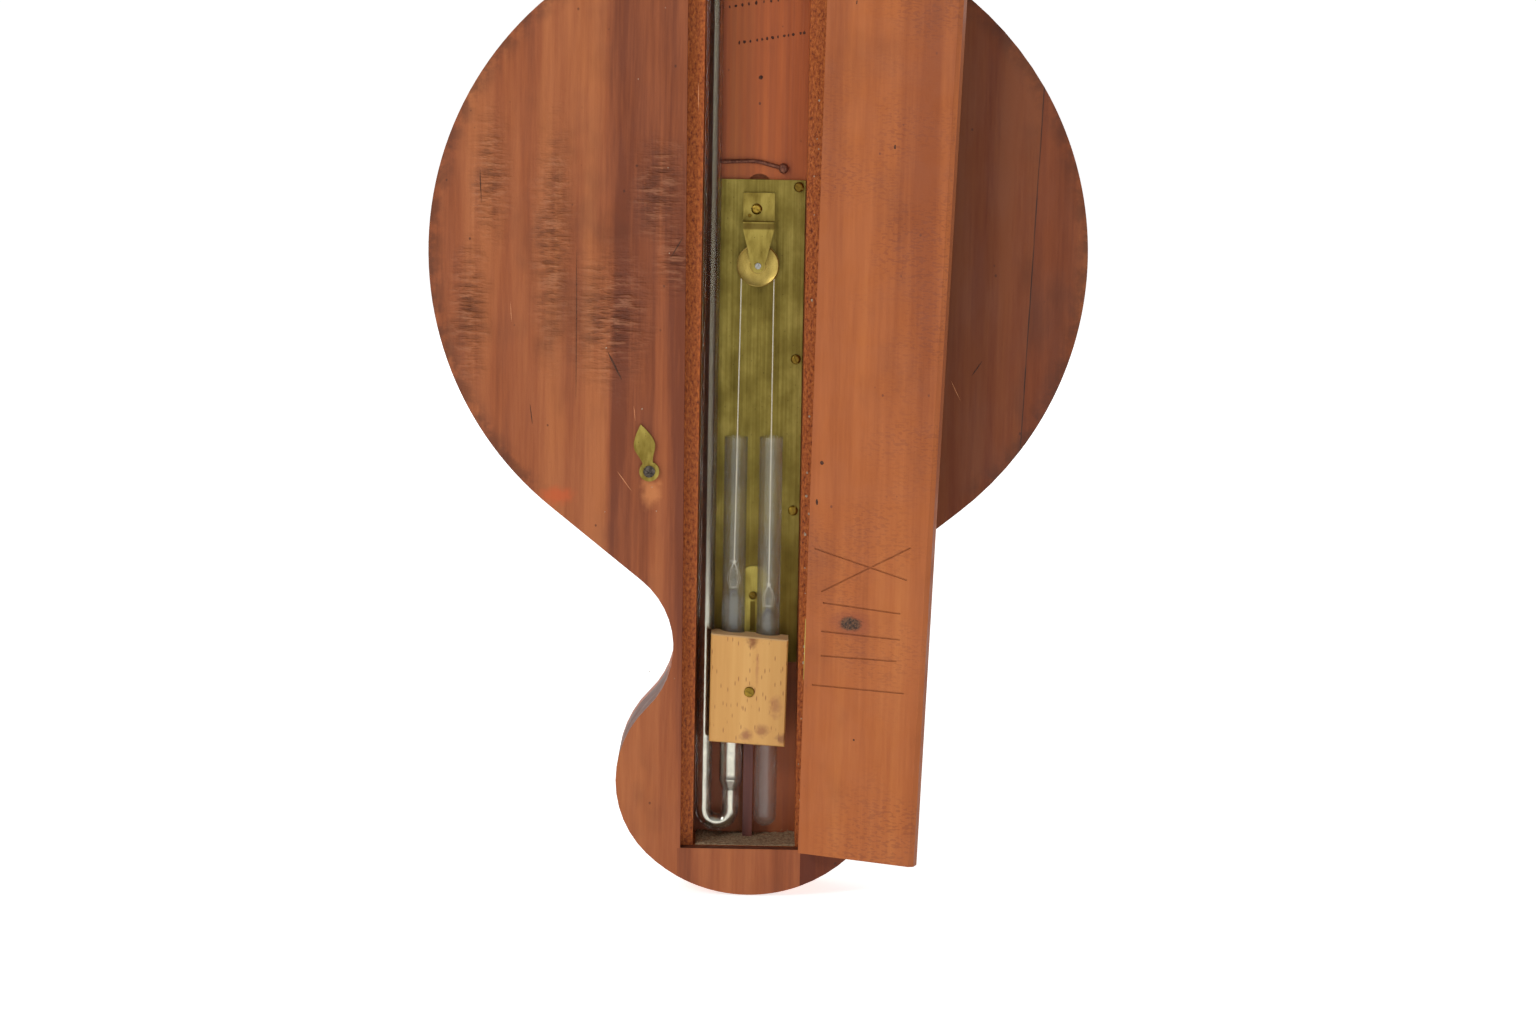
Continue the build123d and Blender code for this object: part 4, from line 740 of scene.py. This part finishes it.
def hanging_thread(name, node, top_x, foot_x, shoulder, knot_height):
    """The thread from the pulley's groove to its bob."""
    start = at(top_x, TUBE_DEPTH, ARBOR_Z)
    knot = at(foot_x, TUBE_DEPTH, knot_height)
    bm = bmesh.new()
    steps = int((start - knot).length / (TWIST_PITCH * MM) * 8)
    for strand in (0, math.pi):
        path = []
        for i in range(steps + 1):
            turn = strand + i * math.pi / 4
            off = Vector((math.cos(turn), math.sin(turn), 0)) * STRAND_OFF * MM
            path.append(start.lerp(knot, i / steps) + off)
        sweep(bm, path, STRAND_R * MM, 6)
    # A trefoil makes the knot.
    size = 0.2 * MM
    tangle = []
    for i in range(48):
        t = 2 * math.pi * i / 48
        x = math.sin(t) + 2 * math.sin(2 * t)
        z = math.cos(t) - 2 * math.cos(2 * t)
        tangle.append(knot + Vector((x, -1.2 * math.sin(3 * t), z)) * size)
    sweep(bm, tangle, 0.17 * MM, 6, closed=True)
    # The loop opens past the bead and closes behind the neck.
    neck = at(foot_x, TUBE_DEPTH, shoulder + 5.0)
    drop = (knot - neck).length
    open_half = 1.7 * MM
    neck_half = 1.16 * MM
    loop = []
    for i in range(25):
        share = i / 24
        wide = open_half * math.sin(math.pi * min(share, 0.78) / 1.3) ** 0.9
        wide = wide + (neck_half - open_half) * max(0.0, (share - 0.72) / 0.28)
        loop.append(knot + Vector((wide, 0, -drop * share)))
    back = []
    for i in range(1, 12):
        turn = math.pi * i / 12
        back.append(neck + Vector((math.cos(turn), -math.sin(turn), 0)) * neck_half)
    other = [Vector((2 * knot.x - p.x, p.y, p.z)) for p in reversed(loop)]
    sweep(bm, loop + back + other, 0.13 * MM, 6)
    tail_end = knot + Vector((1.3, 0.2, 0.9)) * MM
    sweep(bm, [knot.lerp(tail_end, i / 5) for i in range(6)], 0.1 * MM, 6)
    thread = piece(name, bm, thread_silk, None)
    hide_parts(node)
    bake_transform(thread)


hanging_thread("float_thread_silk", "float_thread", 6.4, 7.4, -139.6, -124.3)
hanging_thread(
    "counterweight_thread_silk", "counterweight_thread", -6.4, -6.5, -147.0, -133.3
)

# Turns of thread lying in the pulley's groove.
WINDING_R = 6.1
WINDING_STEPS = 96
winding = bmesh.new()
for ring_depth in (21.2, 21.5, 21.8):
    ring = []
    for i in range(WINDING_STEPS):
        turn = 2 * math.pi * i / WINDING_STEPS
        ring.append(at(WINDING_R * math.cos(turn), ring_depth, ARBOR_Z + WINDING_R * math.sin(turn)))
    sweep(winding, ring, 0.2 * MM, 6, closed=True)
piece("pulley_winding", winding, thread_silk, "pulley_train")

# ---- Mercury in the open limb, with its rounded top ----
LIMB_X = 7.4
LIMB_FOOT = -212.0
LEVEL = -155.0
LIMB_R = 3.72
CROWN = 1.4  # how high the mercury's rounded top stands
SIDE_STEPS = 24
CROWN_STEPS = 8
profile = [(0, 0), (LIMB_R, 0)]
for i in range(1, SIDE_STEPS + 1):
    profile.append((LIMB_R, (LEVEL - CROWN - LIMB_FOOT) * i / SIDE_STEPS))
for i in range(1, CROWN_STEPS + 1):
    turn = math.pi / 2 * i / CROWN_STEPS
    radius = LIMB_R * math.cos(turn) ** 0.8 if i < CROWN_STEPS else 0
    profile.append((radius, LEVEL - CROWN - LIMB_FOOT + CROWN * math.sin(turn)))
limb = bmesh.new()
turned(limb, at(LIMB_X, TUBE_DEPTH, LIMB_FOOT), [(r * MM, h * MM) for r, h in profile])
limb_top = piece("limb_mercury_surface", limb, looks["mercury_column"], None)
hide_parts("limb_mercury")
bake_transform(limb_top)

# ---- Marks of age on the back ----
draw = random.Random(7)
UP_FROM_BACK = Vector((0, 0.00006, 0))

scars = bmesh.new()
for x0, z0, x1, z1, width in (
    (57.8, -39.1, 52.3, -50.0, 0.9),
    (108.2, 31.0, 107.6, 18.0, 0.4),
    (34.0, -2.0, 29.0, 6.5, 0.5),
    (70.4, 0.5, 70.1, -58.0, 0.3),
    (-88.0, -40.0, -84.0, -46.0, 0.5),
    (88.0, -60.0, 87.0, -68.0, 0.4),
):
    spindle(scars, at(x0, 0, z0), at(x1, 0, z1), width * MM, UP_FROM_BACK, draw)
piece("back_scars", scars, bruise, "case", False)

scratches = bmesh.new()
for x0, z0, x1, z1, width in (
    (53.5, -86.0, 48.0, -93.5, 0.35),
    (47.5, -60.0, 46.8, -66.0, 0.3),
    (-79.7, -55.5, -76.0, -48.0, 0.3),
    (24.0, 55.0, 24.2, 66.0, 0.3),
    (96.0, -20.0, 95.5, -28.0, 0.25),
):
    spindle(scratches, at(x0, 0, z0), at(x1, 0, z1), width * MM, UP_FROM_BACK, draw)
piece("back_scratches", scratches, pale_scratch, "case", False)

nicks = bmesh.new()
LIFT_DOOR = DOOR_OUT * 0.00006
for across, along, width, height in (
    (29.9, 279.8, 1.1, 2.2),
    (4.9, 156.0, 1.6, 1.8),
    (3.4, 140.6, 1.1, 2.6),
    (22.0, 48.0, 0.9, 0.9),
    (12.5, 334.0, 0.6, 1.6),
):
    outline = []
    for k in range(8):
        turn = 2 * math.pi * k / 8
        reach = draw.uniform(0.7, 1.1) / 2
        off_across = width * reach * math.cos(turn)
        outline.append(on_door(across + off_across, along + height * reach * math.sin(turn)))
    slab(nicks, outline, LIFT_DOOR)
piece("door_nicks", nicks, bruise, "door", False)

# Two rows of punched marks and a nail hole in the channel's floor.
marks = bmesh.new()
UP_FROM_FLOOR = Vector((0, 0.00006, 0))
for (x0, z0), (x1, z1), count in (((8.6, 80.7), (-16.9, 85.1), 13), ((15.9, 94.2), (-6.0, 97.7), 9)):
    for i in range(count):
        share = (i + draw.uniform(-0.2, 0.2)) / (count - 1)
        middle = at(x0 + (x1 - x0) * share, 29.99, z0 + (z1 - z0) * share)
        speck(marks, middle, draw.uniform(0.35, 0.6) * MM, draw.uniform(0.5, 0.9) * MM, UP_FROM_FLOOR, draw)
speck(marks, at(0.1, 29.99, 67.2), 0.9 * MM, 0.9 * MM, UP_FROM_FLOOR, draw, 12)
piece("channel_tool_marks", marks, bruise, "case", False)

# Old glue left on the hinge side's ledge and about the slot.
specks = bmesh.new()
for _ in range(26):
    height = draw.uniform(-220, 60)
    edge = -20.1 - HINGE_LEAN * (height + 236) / 2
    size = draw.uniform(0.2, 0.55) * MM
    speck(specks, at(edge + draw.uniform(-1.0, 0.9), 5.99, height), size, size * 1.3, UP_FROM_BACK, draw)
for _ in range(14):
    height = draw.uniform(-180, 120)
    size = draw.uniform(0.15, 0.3) * MM
    speck(specks, at(draw.uniform(28, 60), -0.01, height), size, size, UP_FROM_BACK, draw)
piece("glue_specks", specks, glue, "case", False)

# ---- Dust and fluff on the channel's foot ----
heap = bmesh.new()
COLUMNS = 44
ROWS = 22
heap_low = at(-20.4, 29.9, -236.0)
heap_size = Vector((41.6, 23.5, 0)) * MM
grid = []
for i in range(COLUMNS + 1):
    row = []
    for j in range(ROWS + 1):
        u, v = i / COLUMNS, j / ROWS
        rim = min(u, 1 - u, 0.5) * 2
        high = (0.15 + 0.5 * (1 - v) + 0.8 * (1 - rim) ** 3) * draw.uniform(0.45, 1.2)
        edge = 0 if i in (0, COLUMNS) or j in (0, ROWS) else 1
        top = Vector((heap_size.x * u, heap_size.y * v, high * MM * edge + 0.02 * MM))
        row.append(heap.verts.new(heap_low + top))
    grid.append(row)
for i in range(COLUMNS):
    for j in range(ROWS):
        heap.faces.new((grid[i][j], grid[i + 1][j], grid[i + 1][j + 1], grid[i][j + 1]))
# A shallow skirt and a flat underside close the heap.
border = grid[0] + [row[-1] for row in grid[1:]] + grid[-1][-2::-1] + [row[0] for row in grid[-2:0:-1]]
under = [heap.verts.new(v.co - Vector((0, 0, 0.00001))) for v in border]
for k in range(len(border)):
    heap.faces.new((border[k - 1], border[k], under[k], under[k - 1]))
heap.faces.new(under)
piece("channel_dust", heap, dust, "case")

fluff = bmesh.new()
for _ in range(60):
    side = draw.choice((-1, 1, 1))
    x = draw.uniform(14, 21.4) if side > 0 else draw.uniform(-18.4, -12)
    point = at(x, draw.uniform(8, 29), -236 + draw.uniform(0.1, 2.2))
    bend = Vector([draw.uniform(-1, 1) for _ in range(3)]) * MM
    reach = Vector((draw.uniform(-2.5, 2.5), draw.uniform(-1.5, 1.5), draw.uniform(-0.2, 1.6))) * MM
    hair = [point + reach * t + bend * t * (1 - t) * 2 for t in (0, 0.25, 0.5, 0.75, 1)]
    hair = [Vector((min(max(p.x, -0.0183), 0.0217), p.y, max(p.z, -0.93595))) for p in hair]
    sweep(fluff, hair, 0.05 * MM, 5)
piece("channel_fluff", fluff, dust, "case")


# ---- Graduations of the front ----
def number(bm, text, size, middle):
    """Adds a number as raised ink that reads from the front, centred at a point."""
    curve = bpy.data.curves.new("number", "FONT")
    curve.body = text
    curve.size = size
    curve.extrude = 0.00003
    curve.align_x = "CENTER"
    curve.align_y = "CENTER"
    holder = bpy.data.objects.new("number", curve)
    bpy.context.scene.collection.objects.link(holder)
    bpy.context.view_layer.update()
    mesh = holder.evaluated_get(bpy.context.evaluated_depsgraph_get()).to_mesh()
    upright = Matrix.Translation(middle) @ Matrix.Rotation(math.pi / 2, 4, "X")
    mesh.transform(upright)
    bm.from_mesh(mesh)
    bpy.data.objects.remove(holder)
    bpy.data.curves.remove(curve)


def tick(bm, start, end, width):
    side = Vector((0, 1, 0)).cross(end - start).normalized() * width / 2
    slab(bm, [start - side, start + side, end + side, end - side], Vector((0, -0.00005, 0)))


def ring_line(bm, depth, height, radius, width, sides=160):
    """A thin engraved circle."""
    for i in range(sides):
        a, b = (2 * math.pi * k / sides for k in (i, i + 1))
        corners = []
        for r, t in ((radius, a), (radius, b), (radius + width, b), (radius + width, a)):
            corners.append(at(r * math.sin(t), depth, height + r * math.cos(t)))
        slab(bm, corners, Vector((0, -0.00004, 0)))


dial_face = -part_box("dial_plate")[0].y / MM
dial = bmesh.new()
for i in range(301):
    turn = math.radians(-150 + i)
    inner, width = (88, 0.28) if i % 10 else (84, 0.4)
    outer = 92
    if i % 100 == 0:
        inner, width = 80, 0.7
    direction = (math.sin(turn), math.cos(turn))
    start, end = (at(r * direction[0], dial_face, ARBOR_Z + r * direction[1]) for r in (inner, outer))
    tick(dial, start, end, width * MM)
for i, text in enumerate(("28", "29", "30", "31")):
    turn = math.radians(-150 + 100 * i)
    number(dial, text, 13 * MM, at(70 * math.sin(turn), dial_face, ARBOR_Z + 70 * math.cos(turn)))
for i in range(1, 30):
    if i % 10:
        turn = math.radians(-150 + 10 * i)
        middle = at(79 * math.sin(turn), dial_face, ARBOR_Z + 79 * math.cos(turn))
        number(dial, str(i % 10), 4.6 * MM, middle)
for radius, width in ((92.4, 0.5), (94.2, 0.25), (60, 0.25)):
    ring_line(dial, dial_face, ARBOR_Z, radius, width)
STAR_R = 8
STAR_SPREAD = 0.18
for i in range(16):
    # A sixteen-point star fills the middle of the dial.
    turn = math.pi * i / 8
    long = (34, 20, 27, 20)[i % 4]
    corners = []
    for reach, angle in ((STAR_R, turn - STAR_SPREAD), (long, turn), (STAR_R, turn + STAR_SPREAD)):
        corners.append(at(reach * math.sin(angle), dial_face, ARBOR_Z + reach * math.cos(angle)))
    slab(dial, corners, Vector((0, -0.00004, 0)))
piece("dial_markings", dial, ink, "case", False)

scale_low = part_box("thermometer_scale")[0]
scale_face = -scale_low.y / MM
scale = bmesh.new()
SCALE_GAP = 5.5  # from the tube's middle to the nearest mark
foot_z = scale_low.z / MM - BODY_Z
for i in range(101):
    height = foot_z + 26 + i * 2.0
    long = 9 if i % 10 == 0 else 6 if i % 5 == 0 else 4
    for side in (-1, 1):
        inner = at(side * SCALE_GAP, scale_face, height)
        tick(scale, inner, at(side * (SCALE_GAP + long), scale_face, height), 0.22 * MM)
    if i % 10 == 0:
        number(scale, str(i + 10), 4.4 * MM, at(-17.4, scale_face, height))
        number(scale, str(round(((i + 10) - 32) / 1.8)), 4.4 * MM, at(17.4, scale_face, height))
piece("thermometer_markings", scale, ink, "case", False)

gauge_low, gauge_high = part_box("hygrometer_dial")
gauge_face = -gauge_low.y / MM
gauge_z = (gauge_low.z + gauge_high.z) / 2 / MM - BODY_Z
gauge = bmesh.new()
for i in range(51):
    turn = math.radians(-150 + 6 * i)
    inner, outer = (20.5 if i % 5 == 0 else 22.5), 25.0
    direction = (math.sin(turn), math.cos(turn))
    start, end = (at(r * direction[0], gauge_face, gauge_z + r * direction[1]) for r in (inner, outer))
    tick(gauge, start, end, 0.25 * MM)
    if i % 10 == 0:
        place = at(16.0 * direction[0], gauge_face, gauge_z + 16.0 * direction[1])
        number(gauge, str(2 * i), 4.2 * MM, place)
ring_line(gauge, gauge_face, gauge_z, 25.4, 0.3, 96)
piece("hygrometer_markings", gauge, ink, "case", False)


# ---- Studio ----
def studio():
    """A pale floor, a soft key from the upper left of the back, and an even pale world."""
    floor = bmesh.new()
    bmesh.ops.create_circle(floor, cap_ends=True, segments=64, radius=70.0)
    mesh = bpy.data.meshes.new("floor")
    floor.to_mesh(mesh)
    floor.free()
    plane = bpy.data.objects.new("floor", mesh)
    plane.location.z = cad_low.z - 0.0004
    bpy.context.scene.collection.objects.link(plane)
    look = Look("floor")
    look.shader.inputs["Emission Color"].default_value = (1, 1, 1, 1)
    look.shader.inputs["Emission Strength"].default_value = 0.72
    look.done(srgb(246, 246, 244), 0.9, None, Specular_IOR_Level=0.0)
    mesh.materials.append(look.material)

    target = at(0, 0, 0)
    for name, place, size, power in (
        ("key", (1.25, 1.5, 1.0), 0.45, 14.0),
        ("fill", (-0.2, 2.2, 0.7), 1.6, 2.6),
        ("front", (0.6, -2.0, 0.9), 1.2, 12.0),
    ):
        lamp = bpy.data.lights.new(name, "AREA")
        lamp.size = size
        lamp.energy = power
        holder = bpy.data.objects.new(name, lamp)
        holder.location = target + Vector(place)
        holder.rotation_euler = (target - holder.location).to_track_quat("-Z", "Y").to_euler()
        bpy.context.scene.collection.objects.link(holder)

    world = bpy.data.worlds.new("studio")
    bpy.context.scene.world = world
    world.use_nodes = True
    tree = world.node_tree
    ground = tree.nodes["Background"]
    direction = tree.nodes.new("ShaderNodeTexCoord").outputs["Generated"]
    # The room behind the camera is darker, which gives metal and glass something to mirror.
    toward = tree.nodes.new("ShaderNodeVectorMath")
    toward.operation = "DOT_PRODUCT"
    tree.links.new(direction, toward.inputs[0])
    toward.inputs[1].default_value = (0.0, 1.0, 0.0)
    dim = tree.nodes.new("ShaderNodeMapRange")
    dim.interpolation_type = "SMOOTHSTEP"
    tree.links.new(toward.outputs["Value"], dim.inputs["Value"])
    for label, value in (("From Min", 0.35), ("From Max", 0.9), ("To Min", 0.36), ("To Max", 0.1)):
        dim.inputs[label].default_value = value
    # A white band lies along the horizon, so that low views end in white.
    split = tree.nodes.new("ShaderNodeSeparateXYZ")
    tree.links.new(direction, split.inputs[0])
    band = tree.nodes.new("ShaderNodeMapRange")
    band.interpolation_type = "SMOOTHSTEP"
    tree.links.new(split.outputs["Z"], band.inputs["Value"])
    for label, value in (("From Min", 0.24), ("From Max", 0.31), ("To Min", 1.0), ("To Max", 0.0)):
        band.inputs[label].default_value = value
    either = tree.nodes.new("ShaderNodeMath")
    either.operation = "MAXIMUM"
    tree.links.new(dim.outputs[0], either.inputs[0])
    tree.links.new(band.outputs[0], either.inputs[1])
    tree.links.new(either.outputs[0], ground.inputs["Strength"])
    ground.inputs["Color"].default_value = (1, 1, 1, 1)


def camera():
    """The camera stands behind the barometer, a little above the body, looking slightly down."""
    yaw, pitch, roll = -0.0036, 0.1407, 0.0181
    forward = Vector((math.sin(yaw) * math.cos(pitch), -math.cos(yaw) * math.cos(pitch), -math.sin(pitch)))
    level = Vector((-math.cos(yaw), -math.sin(yaw), 0))
    upright = level.cross(forward)
    right = level * math.cos(roll) + upright * math.sin(roll)
    up = upright * math.cos(roll) - level * math.sin(roll)
    data = bpy.data.cameras.new("camera")
    data.sensor_width = 36
    data.lens = 93.7
    data.dof.use_dof = False
    holder = bpy.data.objects.new("camera", data)
    axes = Matrix((right, up, -forward)).transposed().to_4x4()
    holder.matrix_world = Matrix.Translation((0, 1.55, -0.580)) @ axes
    bpy.context.scene.collection.objects.link(holder)
    bpy.context.scene.camera = holder


studio()
camera()
bpy.context.scene.view_settings.view_transform = "Standard"
